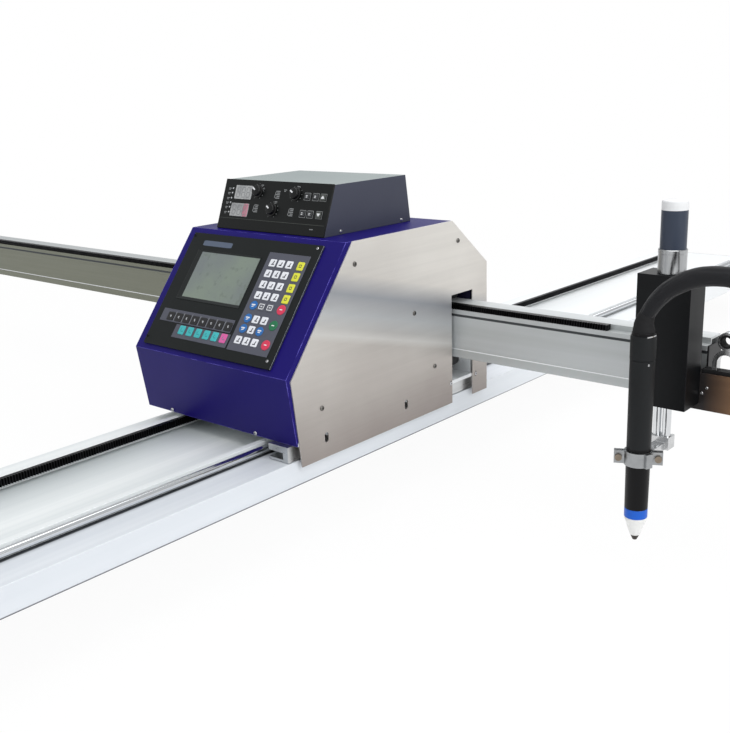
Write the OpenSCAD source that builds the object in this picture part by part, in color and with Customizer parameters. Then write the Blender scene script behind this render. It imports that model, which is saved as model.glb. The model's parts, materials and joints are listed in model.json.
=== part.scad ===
/* [Rail] */
// Length of the rail, over its end caps
rail_len = 3000; // [2700:50:3400]
// Width of the rail over its two flanges
rail_w = 362; // [350:1:372]
// Height of the rail's deck above its underside
rail_h = 41; // [34:1:50]
// Thickness of the rail's deck
deck_t = 5; // [3:0.5:8]
// Thickness of the rail's side walls and ribs
rail_wall = 5; // [3:0.5:7]
// Clear width between the two ridges
ridge_gap = 200; // [190:1:206]
// Width of a ridge
ridge_w = 12; // [10:0.5:14]
// Height of a ridge above the deck
ridge_h = 19; // [17:0.5:22]
// Radius of a guide rod
rod_r = 6; // [5:0.25:6.5]
// Height of the guide rods' centres above the deck
rod_lift = 10; // [9:0.25:11]
// Thickness of the rail's end caps
rail_cap_t = 3; // [2:0.5:6]

/* [Supports] */
// Height of the rail's underside above the floor
support_h = 100; // [90:1:130]
// Distance from an end of the rail to the middle of its cross bar
bar_in = 100; // [70:5:400]
// Side of a cross bar's square tube
bar_side = 40; // [30:1:46]
// Wall of a cross bar
bar_wall = 3; // [2:0.5:5]
// Distance of a floor bolt outside the rail's side
bolt_out = 9; // [0:1:30]
// Radius of a floor bolt's hole
bolt_hole_r = 5.5; // [4:0.25:7]
// Length of a foot's pad
pad_l = 90; // [84:1:100]
// Width of a foot's pad
pad_w = 50; // [40:1:60]
// Thickness of a foot's pad
pad_t = 8; // [5:0.5:12]
// Radius of a levelling screw
stem_r = 6; // [5:0.25:7]

/* [Racks and pinions] */
// Module of the racks and their pinions
gear_module = 1.5; // [1.25:0.05:1.6]
// Teeth of a pinion
pinion_teeth = 24; // [22:1:26]
// Face width of a pinion
pinion_w = 8; // [6:0.5:9]
// Radius of a pinion's shaft
pinion_shaft_r = 5; // [4:0.25:6]
// Number of pieces that make up the rail's rack
rail_rack_pieces = 6; // [4:1:8]
// Number of pieces that make up the beam's rack
beam_rack_pieces = 4; // [3:1:6]
// Height of the rail's rack
rail_rack_h = 12; // [10:0.5:13]

/* [Carriage] */
// Width of the carriage over its side plates
cab_w = 370; // [366:1:380]
// Sideways offset of the carriage from the rail's centreline
cab_shift = 6; // [4:0.5:8]
// Thickness of the side plates
plate_t = 2; // [1.5:0.25:3]
// Thickness of the cover's sheet
sheet_t = 1.5; // [1:0.25:2]
// Thickness of the base plate
base_t = 6; // [5:0.5:8]
// Length of the carriage's floor, from its front sheet to its back sheet
cab_len = 514.5; // [500:1:530]
// Place of the carriage's back sheet along the rail
cab_back = -76; // [-200:1:100]
// Height of the cover's roof above the rail's deck
cab_h = 325; // [322:1:340]
// Length of the roof that carries the height controller
roof_len = 278; // [262:1:290]
// Rise of the front sheet, from the cover's lower edge to the slope
front_rise = 111; // [100:1:122]
// Lean of the front sheet
front_lean = 16.5; // [10:0.5:22]
// Drop of the roof's rear slope
rear_drop = 88; // [70:1:96]
// Width of the cover's turned-in edges
edge_return = 25; // [18:1:30]
// Gap between the base plate and the rail's deck
base_gap = 26.5; // [25.5:0.5:28]

/* [Rail rollers] */
// Distance from a rail roller's axis to its guide rod's centre
groove_ring_r = 25.5; // [24:0.25:26]
// Thickness of a rail roller
rail_roller_w = 9; // [8:0.5:10]
// Radius of a rail roller's axle
rail_axle_r = 4; // [3:0.25:5]
// Distance from the carriage's back sheet to the rear rollers' axles
rear_roller_in = 54; // [44:1:80]
// Distance between the front and rear rollers' axles
roller_base = 430; // [380:5:436]
// Length of the slider bars
slider_len = 512; // [500:1:514]
// Distance the left side's front roller and bar stand behind those of the right side
left_set_back = 62; // [50:1:80]
// Wall of a slider bar above and below its rollers
slider_arm = 4; // [3:0.25:4.5]

/* [Beam] */
// Length of the cross beam, over its end caps
beam_len = 2115; // [1950:5:2300]
// Place of the beam's right end
beam_end = 658; // [640:1:680]
// Depth of the beam, along the rail
beam_d = 50; // [46:1:54]
// Height of the beam
beam_h = 98; // [90:1:104]
// Height of the beam's underside above the rail's deck
beam_lift = 76; // [72:1:80]
// Wall of the beam
beam_wall = 3; // [2:0.5:4]
// Distance from the beam's back face to the carriage's back sheet
beam_in = 50; // [44:1:60]
// Depth of the step that holds the beam's rack
rabbet_d = 14; // [13:0.5:15]
// Height of the step that holds the beam's rack
rabbet_h = 9.5; // [9:0.25:11]
// Thickness of the beam's end caps
beam_cap_t = 3; // [2:0.5:5]
// Radius of a beam roller
beam_roller_r = 14; // [12:0.5:15]
// Width of a beam roller
beam_roller_w = 30; // [24:1:34]
// Radius of a beam roller's axle
beam_axle_r = 5; // [4:0.25:6]
// Thickness of the beam guide's walls
guide_wall = 6; // [4:0.5:7]
// Gap between the beam and the beam guide's walls
guide_gap = 4; // [2:0.5:5]

/* [Control panel] */
// Width of the control panel
panel_w = 309.5; // [300:0.5:320]
// Height of the control panel, up the slope
panel_h = 216.5; // [210:0.5:222]
// Thickness of the control panel
panel_t = 4; // [3:0.5:6]
// Width of the display
lcd_w = 158; // [150:1:164]
// Height of the display
lcd_h = 96; // [88:1:100]
// Depth of the controller's housing behind the slope
controller_d = 55; // [40:1:60]
// Thickness of the keypads' plastic sheets
overlay_t = 0.6; // [0.4:0.1:1]
// Height of a key above its sheet
key_rise = 1; // [0.6:0.1:2]

/* [Height controller] */
// Width of the height controller's case
thc_w = 256; // [244:1:264]
// Height of the height controller's case
thc_h = 81.6; // [76:0.2:90]
// Length of the case at its foot
thc_len = 223.9; // [215:0.1:235]
// Lean of the case's front
thc_front_lean = 31.8; // [26:0.2:36]
// Lean of the case's back
thc_back_lean = 11.8; // [8:0.2:16]
// Distance from the front edge of the roof to the case
thc_in = 18.5; // [14:0.5:22]
// Thickness of the case's sheet
thc_sheet = 1.5; // [1:0.25:2.5]
// Thickness of the face plate
face_t = 3; // [2:0.5:4]
// Radius of a knob
knob_r = 11; // [9:0.25:11.5]
// Height of a knob
knob_h = 8; // [6:0.5:12]

/* [Torch lifter] */
// Distance from the beam's right end to the lifter's middle
lifter_in = 43.5; // [40:0.5:60]
// Width of the lifter's box
lifter_w = 83; // [78:1:90]
// Depth of the lifter's box
lifter_d = 52; // [50:1:58]
// Height of the lifter's box
lifter_h = 200; // [190:1:215]
// Depth of the bracket between the beam and the lifter's box
bracket_d = 22; // [18:0.5:28]
// Height of the bracket
bracket_h = 58; // [50:1:64]
// Thickness of the bracket
bracket_t = 3; // [2:0.5:4]
// Length of the bracket past the beam's right end
bracket_reach = 173; // [165:1:185]
// Radius of a lifter rod
lift_rod_r = 6.5; // [5.5:0.25:7]
// Radius of the lead screw
screw_r = 4; // [3:0.25:4.5]
// Radius of the lifter motor
lift_motor_r = 19; // [17:0.5:22]

/* [Torch] */
// Radius of the torch's upper sleeve
torch_r = 18; // [17.5:0.25:20]
// Radius of the torch where the clamp holds it
torch_neck_r = 17.25; // [16.5:0.25:17.5]
// Length of the torch's black body
torch_len = 265; // [250:1:280]
// Gap from the lifter's box to the torch's axis
torch_out = 83; // [78:1:90]
// Height of the torch's tip above the floor
tip_h = 40.5; // [37:0.5:48]
// Radius of the torch's hose
hose_r = 14; // [12:0.25:15]

/* [Hidden] */
$fn = 48;

// Fits
run_gap = 0.05;
seat_gap = 0.05;
eps = 0.01;

// Rail, seen along its length
rail_z = support_h;
deck_z = rail_z + rail_h;
ridge_in = ridge_gap / 2;
ridge_out = ridge_in + ridge_w;
rod_seat = 0.5;
rod_x = ridge_out + rod_r - rod_seat;
rod_z = deck_z + rod_lift;
rib_foot = 6;
rib_foot_t = 4;
profile_end = rail_len / 2 - rail_cap_t;
stop_t = 12;
stop_end = profile_end - 1;
stop_face = stop_end - stop_t;
stop_w = 30;
stop_h = 21;

// Supports
bar_span = rail_len - 2 * bar_in;
bolt_span = rail_w + 2 * bolt_out;
stem_in = 30;
stem_x = bolt_span / 2 - stem_in;
bar_half = stem_x + 20;
pad_inner_x = stem_x - 27;
foot_disc_r = 14;
foot_disc_t = 6;
nut_h = 9;
nut_r = 10.5;
bar_z = rail_z - bar_side;

// Racks and pinions
tooth_pitch = PI * gear_module;
pinion_r = pinion_teeth * gear_module / 2;
pressure_angle = 20;
backlash = 0.16;
dedendum = 1.25 * gear_module;
tooth_depth = dedendum + gear_module;
rail_rack_back = 6.6;
rack_setback = 1;
beam_rack_back = rabbet_d - rack_setback - tooth_depth;
rack_joint = 0.3;
mesh_gap = 0.05;
rail_pitch_x = -ridge_in + rail_rack_back + dedendum;
y_pin_x = rail_pitch_x + pinion_r + mesh_gap;
rail_rack_z = rod_z - 3.5;
rail_rack_run = 2 * stop_face - 16;
rail_rack_teeth = floor(rail_rack_run / rail_rack_pieces / tooth_pitch);

// Carriage, in the plane of its side plates
cab_right = cab_shift + cab_w / 2;
cab_left = cab_shift - cab_w / 2;
in_right = cab_right - plate_t;
in_left = cab_left + plate_t;
base_z = deck_z + base_gap;
base_top = base_z + base_t;
cover_z = base_z + 0.5;
roof_z = deck_z + cab_h;
nose_z = cover_z + front_rise;
cab_foot = cab_back - cab_len;
nose_y = cab_foot - front_lean;
rear_y = cab_back - 107;
brow_y = rear_y - roof_len;
slope_tilt = atan2(roof_z - nose_z, brow_y - nose_y);
cover_line = [
    [cab_foot, cover_z], [nose_y, nose_z], [brow_y, roof_z],
    [rear_y, roof_z], [cab_back, roof_z - rear_drop], [cab_back, cover_z]
];
panel_frame_in = 13;
wire_hole_r = 12;
front_tilt = 90 + atan(front_lean / front_rise);
front_screw_left = 117;
front_screw_right = 91;
front_screw_x = [cab_shift - front_screw_left, cab_shift + front_screw_right];
front_screw_up = 4;
skirt_z = deck_z - 8.5;
left_skirt_z = deck_z + 4;
slot_front = cab_back - beam_in - beam_d - 11.6;
slot_back = cab_back - beam_in + 3;
slot_top = deck_z + beam_lift + beam_h + 18.5;

// Rail rollers
roller_x = rod_x + groove_ring_r;
groove_r = rod_r + run_gap;
rail_roller_r = groove_ring_r - sqrt(pow(groove_r, 2) - pow(rail_roller_w / 2, 2)) - 0.05;
rear_roller_y = cab_back - rear_roller_in;
front_roller_y = rear_roller_y - roller_base;
function set_back(side) = side < 0 ? left_set_back : 0;
function roller_ys(side) = [front_roller_y + set_back(side), rear_roller_y];
y_pin_y = rear_roller_y - roller_base / 2;
slider_back = cab_back - 14;
slider_in_x = roller_x - 6;
slider_web_x = roller_x + rail_roller_r + 3.5;
slider_low = deck_z + 1;
stop_x = slider_in_x + 3 + stop_w / 2;
function slider_out_x(side) = min(roller_x + 36, (side > 0 ? in_right : -in_left) - 2);

// Beam
beam_back = cab_back - beam_in;
beam_front = beam_back - beam_d;
beam_z = deck_z + beam_lift;
beam_top = beam_z + beam_h;
beam_left = beam_end - beam_len;
rabbet_z = beam_top - rabbet_h;
beam_pitch_y = beam_front + rack_setback + gear_module;
x_pin_x = cab_shift;
x_pin_y = beam_pitch_y - pinion_r - mesh_gap;
x_pin_z = rabbet_z + 1;
beam_rack_start = beam_left + 45;
beam_rack_short = 197;
beam_rack_run = beam_len - beam_rack_short;
beam_rack_teeth = floor(beam_rack_run / beam_rack_pieces / tooth_pitch);
top_roller_z = beam_top + beam_roller_r + run_gap;
low_roller_z = beam_z - beam_roller_r - run_gap;
roller_mid_y = beam_front + beam_d / 2;
right_beam_roller_x = in_right - 33;
left_beam_roller_x = in_left + 33;
guide_front = beam_front - guide_gap - guide_wall;
guide_back = beam_back + guide_gap + guide_wall;
guide_right = in_right - 4;
guide_left = left_beam_roller_x - beam_roller_r - 2;
guide_top = top_roller_z + 21;
shelf_z = beam_top + 1;
shelf_t = 6;
gearbox_side = 60;
x_gearbox_h = 40;
y_gearbox_h = 47;
x_motor_side = 57;
x_motor_h = 78;
y_motor_side = 57;
y_motor_h = 90;

// Control panel on the slope, x across and v up the slope
panel_left = 164;
panel_x = cab_shift - panel_left;
panel_v = 9.5;
window_in = 4;
lcd_x = panel_x + 29.5;
lcd_v = panel_v + 88.5;
lcd_t = 5;
keypad_in = 201.5;
keypad_x = panel_x + keypad_in;
keypad_w = 92;
keypad_up = 18;
keypad_v = panel_v + keypad_up;
keypad_h = 177;
strip_in = [14.5, 62.5];
strip_up = [45, 19];
strip_w = [179, 135];
strip_h = [23, 24];
strip_1 = [panel_x + strip_in[0], panel_v + strip_up[0], strip_w[0], strip_h[0]];
strip_2 = [panel_x + strip_in[1], panel_v + strip_up[1], strip_w[1], strip_h[1]];
key_columns = [218.5, 237, 256, 281];
key_rows = [176, 156.5, 136.5, 117, 97.5, 73.5, 54.5, 34.5];
key_w = 13;
key_h = 10.5;
row_key_step = 20.7;
row_1_keys = 8;
row_2_keys = 6;
panel_screws = [[3.5, 12.5], [298, 12.5], [3.5, 210.5], [299.5, 210.5]];

// Height controller
thc_x = cab_shift - 8 - thc_w / 2;
thc_y = brow_y + thc_in;
thc_top_y = thc_y + thc_front_lean;
thc_back_y = thc_y + thc_len;
thc_tilt = atan2(thc_h, thc_front_lean);
thc_face_h = norm([thc_front_lean, thc_h]);
knob_spots = [[86, 68.5], [128, 38.5], [176, 67.5]];
knob_turn = 59;
thc_button_spots = [
    [203, 64.5], [222, 64.5], [239, 64.5], [200, 35.5], [217, 35.5], [237, 35.5]
];
led_heights = [71, 63, 54, 46, 38, 29];
knob_gap = 0.4;
knob_shaft_r = 3;

// Supply and its vents
supply_size = [110, 200, 50];
supply_vent = [3, 5, 26];

// Rear panel
socket_x = cab_shift + 60;
socket_z = cover_z + 52;
socket_spots = [-90, -40, 10];
switch_x = socket_x + 60;
switch_w = 24;
switch_h = 34;
rocker_tilt = 8;
pivot_in = 6;

// Lifter
lifter_x = beam_end - lifter_in;
bracket_y = beam_front - bracket_d;
box_back_y = bracket_y;
lifter_y = box_back_y - lifter_d / 2;
box_front_y = box_back_y - lifter_d;
lifter_z = beam_z + 4;
lifter_top = lifter_z + lifter_h;
box_wall = 2;
box_floor = 5;
bracket_z = beam_z - 6;
bracket_top = bracket_z + bracket_h;
bracket_left = lifter_x - 36;
face_recess = 1;
groove_d = 1.6;
shank_r = 13;
stub_r = 12;
stub_h = 32;
bracket_right = beam_end + bracket_reach;
lift_rod_y = lifter_y - 12;
lift_rod_step = 15;
lift_rod_mid_x = lifter_x + 2;
rod_foot_z = lifter_z - 65;
block_z = lifter_z - 67;
block_h = 20;
crosshead_z = lifter_z + 99;
crosshead_h = 20;
lift_gearbox_r = 21;
lift_gearbox_h = 36;
lift_motor_h = 56.5;
lift_cap_h = 13.5;
coupling_out = 173.5;
coupling_x = lifter_x + coupling_out;
coupling_y = bracket_y - 62;
shelf_half = 22;
coupling_r = 18;
coupling_h = 52;

// Torch
torch_x = lifter_x + 11.5;
torch_y = box_front_y - torch_out;
ring_h = 14;
tip_len = 8.5;
ring_z = tip_h + 37.5;
torch_foot = ring_z + ring_h;
nozzle_rim_h = 4;
torch_top = torch_foot + torch_len;
clamp_z = block_z + 6;
clamp_h = 21;
clamp_t = 3;
clamp_split = 2;
lug_reach = 14;
lug_turn = 26;
lug_t = 8;
lug_face = (lug_t + clamp_split) / 2;
clamp_ring_r = torch_neck_r + seat_gap + clamp_t;
clamp_reach = clamp_ring_r + lug_reach;
clamp_bolt_x = clamp_reach - 6.5;
clamp_bolt_r = 3;
clamp_mid_z = clamp_z + clamp_h / 2;
clamp_back_y = torch_y + clamp_ring_r + 4;
arm_left = torch_x - 16;
arm_right = torch_x + 1;
arm_h = 12;
neck_z = clamp_z - 6;
sleeve_h = 40;

// Route of the hose's middle, from the torch over the lifter to its coupling
hose_lay = [
    [626, -333, 357], [626, -333, 369], [630, -331, 383], [640, -327, 401], [653, -320, 416],
    [669, -313, 427], [686, -305, 434], [704, -298, 437], [722, -290, 436], [739, -282, 432],
    [755, -275, 424], [768, -269, 412], [778, -265, 397], [784, -262, 380], [787, -261, 362],
    [788, -260, 343], [788, -260, 321]
];
hose_sides = 12;
hose_last = len(hose_lay) - 1;
hose_start_shift = [torch_x, torch_y, torch_top] - hose_lay[0];
hose_end_shift = [coupling_x, coupling_y, bracket_top + coupling_h] - hose_lay[hose_last];
function hose_part(i) = min(1, max(0, (i - 1) / (hose_last - 2)));
hose_route = [
    for (i = [0 : hose_last])
        hose_lay[i] + (1 - hose_part(i)) * hose_start_shift + hose_part(i) * hose_end_shift
];

// Prism along X from an outline in Y and Z
module prism_x(outline, x0, x1) {
    translate([x0, 0, 0]) rotate([90, 0, 90]) linear_extrude(x1 - x0) polygon(outline);
}

module box(low, high) {
    translate(low) cube(high - low);
}

module round_x(x0, x1, y, z, r) {
    translate([x0, y, z]) rotate([0, 90, 0]) cylinder(h = x1 - x0, r = r);
}

module round_y(y0, y1, x, z, r) {
    translate([x, y1, z]) rotate([90, 0, 0]) cylinder(h = y1 - y0, r = r);
}

module round_z(z0, z1, x, y, r) {
    translate([x, y, z0]) cylinder(h = z1 - z0, r = r);
}

// Frame on the slope: x across, y up the slope, z out of it
module on_slope() {
    translate([0, nose_y, nose_z]) rotate([slope_tilt, 0, 0]) children();
}

// Frame on the cover's leaning front sheet: x across, y up the sheet, z out of it
module on_front() {
    translate([0, cab_foot, cover_z]) rotate([front_tilt, 0, 0]) children();
}

// Frame on the height controller's front: x across from its left edge, y up, z out
module on_thc_face() {
    translate([thc_x, thc_y, roof_z]) rotate([thc_tilt, 0, 0]) children();
}

// Outline of the rail's section, in X and Z
module rail_section() {
    difference() {
        union() {
            translate([-rail_w / 2, rail_h - deck_t]) square([rail_w, deck_t]);
            for (side = [-1, 1]) {
                mirror([side < 0 ? 1 : 0, 0]) {
                    translate([rail_w / 2 - rail_wall, 0]) square([rail_wall, rail_h]);
                    translate([ridge_in, 0]) square([rail_wall, rail_h]);
                    translate([ridge_in - rib_foot, 0]) square([rail_wall + 2 * rib_foot, rib_foot_t]);
                    translate([ridge_in, rail_h - eps]) square([ridge_w, ridge_h + eps]);
                }
            }
        }
        for (side = [-1, 1]) {
            translate([side * rod_x, rail_h + rod_lift]) circle(r = rod_r + seat_gap);
        }
    }
}

module rail_profile() {
    color("gainsboro")
        translate([0, profile_end, rail_z]) rotate([90, 0, 0])
            linear_extrude(2 * profile_end) rail_section();
}

// One straight rack piece: its back lies on the X axis and its teeth point to +Y
rack_root_half = tooth_pitch / 4 - backlash / 2 + dedendum * tan(pressure_angle);
rack_tip_half = tooth_pitch / 4 - backlash / 2 - gear_module * tan(pressure_angle);
function rack_tooth(mid, back) = [
    [mid - rack_root_half, back],
    [mid - rack_tip_half, back + tooth_depth],
    [mid + rack_tip_half, back + tooth_depth],
    [mid + rack_root_half, back]
];

module rack_piece(teeth, back, h) {
    run = teeth * tooth_pitch;
    gap = rack_joint / 2;
    linear_extrude(h)
        polygon(concat(
            [[gap, 0], [gap, back]],
            [for (i = [0 : teeth - 1]) each rack_tooth((i + 0.5) * tooth_pitch, back)],
            [[run - gap, back], [run - gap, 0]]
        ));
}

// Involute pinion, with a gap between teeth on its +X side
base_circle_r = pinion_r * cos(pressure_angle);
pinion_root_r = pinion_r - dedendum - 0.03;
pinion_tip_r = pinion_r + gear_module - 0.05;
function roll(r) = sqrt(max(0, pow(r / base_circle_r, 2) - 1)) * 180 / PI;
function involute(r) = r <= base_circle_r ? 0 : roll(r) - atan(roll(r) * PI / 180);
pitch_half_angle = 90 / pinion_teeth - backlash / pinion_r * 45 / PI;
function flank_angle(r) = pitch_half_angle + involute(pinion_r) - involute(r);
flank_radii = [
    pinion_root_r, base_circle_r, pinion_r, pinion_r + gear_module / 2, pinion_tip_r
];
function polar(r, a) = [r * cos(a), r * sin(a)];
function pinion_outline() = [
    for (i = [0 : pinion_teeth - 1], k = [0 : 9])
        let (
            mid = (i + 0.5) * 360 / pinion_teeth,
            r = flank_radii[k < 5 ? k : 9 - k],
            side = k < 5 ? -1 : 1
        )
        polar(r, mid + side * flank_angle(r))
];

module pinion(turn) {
    rotate([0, 0, turn]) linear_extrude(pinion_w) polygon(pinion_outline());
}

module rail_rack() {
    piece_len = rail_rack_teeth * tooth_pitch;
    total = rail_rack_pieces * piece_len;
    // A tooth is centred on the pinion, so the two are in mesh at rest
    start = y_pin_y - (round((y_pin_y + total / 2) / tooth_pitch) + 0.5) * tooth_pitch;
    color("dimgray")
        for (i = [0 : rail_rack_pieces - 1]) {
            translate([-ridge_in, start + (i + 1) * piece_len, rail_rack_z])
                rotate([0, 0, -90]) rack_piece(rail_rack_teeth, rail_rack_back, rail_rack_h);
        }
}

module guide_rods() {
    color("silver")
        for (side = [-1, 1]) {
            round_y(-stop_face + 2, stop_face - 2, side * rod_x, rod_z, rod_r);
        }
}

module rail_end_caps() {
    color("gray")
        for (side = [-1, 1]) {
            translate([0, side * (profile_end + rail_cap_t / 2), rail_z + rail_h / 2])
                cube([rail_w, rail_cap_t, rail_h], center = true);
        }
}

module end_stops() {
    color("darkslategray")
        for (side = [-1, 1], end = [-1, 1]) {
            translate([side * stop_x, end * (stop_end + stop_face) / 2, deck_z + stop_h / 2])
                cube([stop_w, stop_t, stop_h], center = true);
        }
}

module cross_bars() {
    hollow = bar_side - 2 * bar_wall;
    color("dimgray")
        for (end = [-1, 1]) {
            translate([0, end * bar_span / 2, bar_z + bar_side / 2])
                difference() {
                    cube([2 * bar_half, bar_side, bar_side], center = true);
                    cube([2 * bar_half + 2, hollow, hollow], center = true);
                    for (side = [-1, 1]) {
                        translate([side * stem_x, 0, -bar_side])
                            cylinder(h = bar_side, r = stem_r + seat_gap);
                    }
                }
        }
}

module levelling_foot() {
    // Screw with its ball foot
    color("silver") {
        cylinder(h = foot_disc_t, r1 = foot_disc_r, r2 = stem_r + 2);
        cylinder(h = bar_z + bar_wall + 14 - pad_t, r = stem_r);
    }
    color("silver") translate([0, 0, bar_z - pad_t - nut_h])
        difference() {
            cylinder(h = nut_h, r = nut_r, $fn = 6);
            translate([0, 0, -1]) cylinder(h = nut_h + 2, r = stem_r + seat_gap);
        }
}

module levelling_feet() {
    for (side = [-1, 1], end = [-1, 1]) {
        translate([0, end * bar_span / 2, 0]) mirror([side < 0 ? 1 : 0, 0, 0]) {
            translate([stem_x, 0, pad_t]) levelling_foot();
            color("darkgray")
                difference() {
                    translate([pad_inner_x, -pad_w / 2, 0]) cube([pad_l, pad_w, pad_t]);
                    translate([bolt_span / 2, 0, -1]) cylinder(h = pad_t + 2, r = bolt_hole_r);
                }
        }
    }
}

module base_plate() {
    color("silver")
        difference() {
            box([in_left, cab_foot + sheet_t + 0.5, base_z], [in_right, cab_back - sheet_t - 0.5, base_top]);
            round_z(base_z - 1, base_top + 1, y_pin_x, y_pin_y, pinion_shaft_r + 3);
            for (side = [-1, 1], y = roller_ys(side)) {
                round_z(base_z - 1, base_top + 1, side * roller_x, y, rail_axle_r + seat_gap);
            }
            // Notches behind the open slots of the side plates
            for (dy = open_slots, edge = [in_left, in_right]) {
                box([edge - notch_d, cab_back + dy - open_slot_r, base_z - 1],
                    [edge + notch_d, cab_back + dy + open_slot_r, base_top + 1]);
            }
        }
}

// Channel that carries the rollers on one side, open towards its guide rod
module slider_bar(side) {
    outer = slider_out_x(side);
    front = slider_back - slider_len + set_back(side);
    mirror([side < 0 ? 1 : 0, 0, 0])
        difference() {
            box([slider_in_x, front, slider_low], [outer, slider_back, base_z]);
            box([slider_in_x - 1, front - 1, slider_low + slider_arm],
                [slider_web_x, slider_back + 1, slider_low + slider_arm + rail_roller_w + 2]);
            for (y = roller_ys(side)) {
                round_z(slider_low - 1, base_z + 1, roller_x, y, rail_axle_r + seat_gap);
            }
        }
}

module slider_bars() {
    color("gainsboro") slider_bar(1);
    color("gainsboro") slider_bar(-1);
}

// Points of the cover's outline, moved inwards by d
inset_line = [
    [cab_foot + sheet_t * 1.011, cover_z - 1],
    [nose_y + sheet_t * 1.11, nose_z + 0.1],
    [brow_y + sheet_t * 0.45, roof_z - sheet_t],
    [rear_y - sheet_t * 0.36, roof_z - sheet_t],
    [cab_back - sheet_t, roof_z - rear_drop - sheet_t * 0.48],
    [cab_back - sheet_t, cover_z - 1]
];

module cover_shell() {
    color("midnightblue")
        difference() {
            prism_x(cover_line, in_left, in_right);
            prism_x(inset_line, in_left + sheet_t, in_right - sheet_t);
            // Sides are open inside the turned-in edges
            prism_x([
                [cab_foot + edge_return + front_lean, cover_z - 2],
                [nose_y + edge_return + 6, nose_z + 4],
                [brow_y + edge_return * 0.5 + 8, roof_z - edge_return],
                [rear_y - edge_return * 0.4, roof_z - edge_return],
                [cab_back - edge_return, roof_z - rear_drop - edge_return * 0.5],
                [cab_back - edge_return, cover_z - 2]
            ], in_left - 1, in_right + 1);
            // Window behind the control panel
            on_slope() translate([panel_x + window_in, panel_v + window_in, -sheet_t - 2])
                cube([panel_w - 2 * window_in, panel_h - 2 * window_in, sheet_t + 4]);
            // Turned-in edges stop on the base plate
            box([in_left - 1, cab_foot + sheet_t + 0.1, cover_z - 1],
                [in_right + 1, cab_back - sheet_t - 0.1, base_top]);
            // Opening for the wiring into the height controller
            round_z(roof_z - sheet_t - 1, roof_z + 1, cab_shift, thc_y + thc_len / 2, wire_hole_r);
            plate_screw_holes(in_left - 1, in_right + 1);
            for (x = front_screw_x) {
                on_front() translate([x, front_screw_up, -sheet_t - 1])
                    cylinder(h = sheet_t + 2, r = 2 + seat_gap);
            }
            rear_cutouts();
        }
}

module rear_cutouts() {
    for (dx = socket_spots) {
        round_y(cab_back - sheet_t - 1, cab_back + 1, socket_x + dx, socket_z, 11 + seat_gap);
    }
    box([switch_x - switch_w / 2 - seat_gap, cab_back - sheet_t - 1, socket_z - switch_h / 2 - seat_gap],
        [switch_x + switch_w / 2 + seat_gap, cab_back + 1, socket_z + switch_h / 2 + seat_gap]);
}

// Outline of a side plate, in Y and Z, with the slot that lets the beam through
function plate_line(skirt, corner) = concat([
    [brow_y + panel_frame_in, roof_z], [rear_y, roof_z], [cab_back, roof_z - rear_drop],
    [cab_back, skirt], [slot_back, skirt], [slot_back, slot_top], [slot_front, slot_top],
    [slot_front, skirt]
], corner, [[cab_foot - 8.5, nose_z - 5]]);
// Lower front corner of each plate; the left one rises to the foot of the cover
right_corner = [[cab_foot + 7.5, skirt_z]];
left_corner = [[cab_foot + 55, left_skirt_z], [cab_foot + 4, cover_z + 1]];
plate_screw_spots = [[-369, -36], [-91, -37], [-220, -144], [-164, -251], [-458, -250]];
open_slots = [-450, -247];
open_slot_z = base_z - 2;
open_slot_r = 4.5;
open_slot_half = 4;
notch_d = 10;
base_screws = [-116, -37];
slot_r = 2.2;
slot_half = 3;

module plate_screw_holes(x0, x1) {
    for (p = plate_screw_spots) {
        round_x(x0, x1, cab_back + p[0], roof_z + p[1], 2.5 + seat_gap);
    }
}

// Upright slot through a side plate
module plate_slot(x0, x1, y, z, r, half) {
    for (dz = [-half, half]) {
        round_x(x0, x1, y, z + dz, r);
    }
    box([x0, y - r, z - half], [x1, y + r, z + half]);
}

// Screw holes, and the upright slots along the base plate's edge
module plate_holes(x0, x1) {
    plate_screw_holes(x0, x1);
    for (dy = open_slots) {
        plate_slot(x0, x1, cab_back + dy, open_slot_z, open_slot_r, open_slot_half);
    }
    for (dy = base_screws) {
        plate_slot(x0, x1, cab_back + dy, (base_z + base_top) / 2, slot_r, slot_half);
    }
}

module side_plate_right() {
    color("silver")
        difference() {
            prism_x(plate_line(skirt_z, right_corner), in_right, cab_right);
            plate_holes(in_right - 1, cab_right + 1);
        }
}

module side_plate_left() {
    color("silver")
        difference() {
            prism_x(plate_line(left_skirt_z, left_corner), cab_left, in_left);
            plate_holes(cab_left - 1, in_left + 1);
        }
}

// Button-head screw along X, with its head outside the plate
module side_screw(side, y, z, r, grip) {
    face = side > 0 ? cab_right : cab_left;
    mirror([side < 0 ? 1 : 0, 0, 0]) {
        round_x(abs(face) - grip, abs(face) + eps, y, z, r);
        round_x(abs(face), abs(face) + r * 0.8, y, z, r * 1.7);
    }
}

module cover_screws() {
    color("dimgray")
        for (side = [-1, 1]) {
            for (p = plate_screw_spots) {
                side_screw(side, cab_back + p[0], roof_z + p[1], 2.5, plate_t + 4);
            }
            for (dy = base_screws) {
                side_screw(side, cab_back + dy, (base_z + base_top) / 2, 2, plate_t - 0.1);
            }
        }
    color("dimgray")
        for (p = panel_screws) {
            on_slope() translate([panel_x + p[0], panel_v + p[1], panel_t]) cylinder(h = 1.6, r = 3);
        }
    color("dimgray")
        for (x = front_screw_x) {
            on_front() translate([x, front_screw_up, -sheet_t]) {
                cylinder(h = sheet_t + eps, r = 2);
                translate([0, 0, sheet_t]) cylinder(h = 2, r = 3.6);
            }
        }
}

module control_panel() {
    color("darkslategray")
        on_slope()
            difference() {
                translate([panel_x, panel_v, 0]) cube([panel_w, panel_h, panel_t]);
                translate([lcd_x - seat_gap, lcd_v - seat_gap, -1])
                    cube([lcd_w + 2 * seat_gap, lcd_h + 2 * seat_gap, panel_t + 2]);
            }
}

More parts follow.
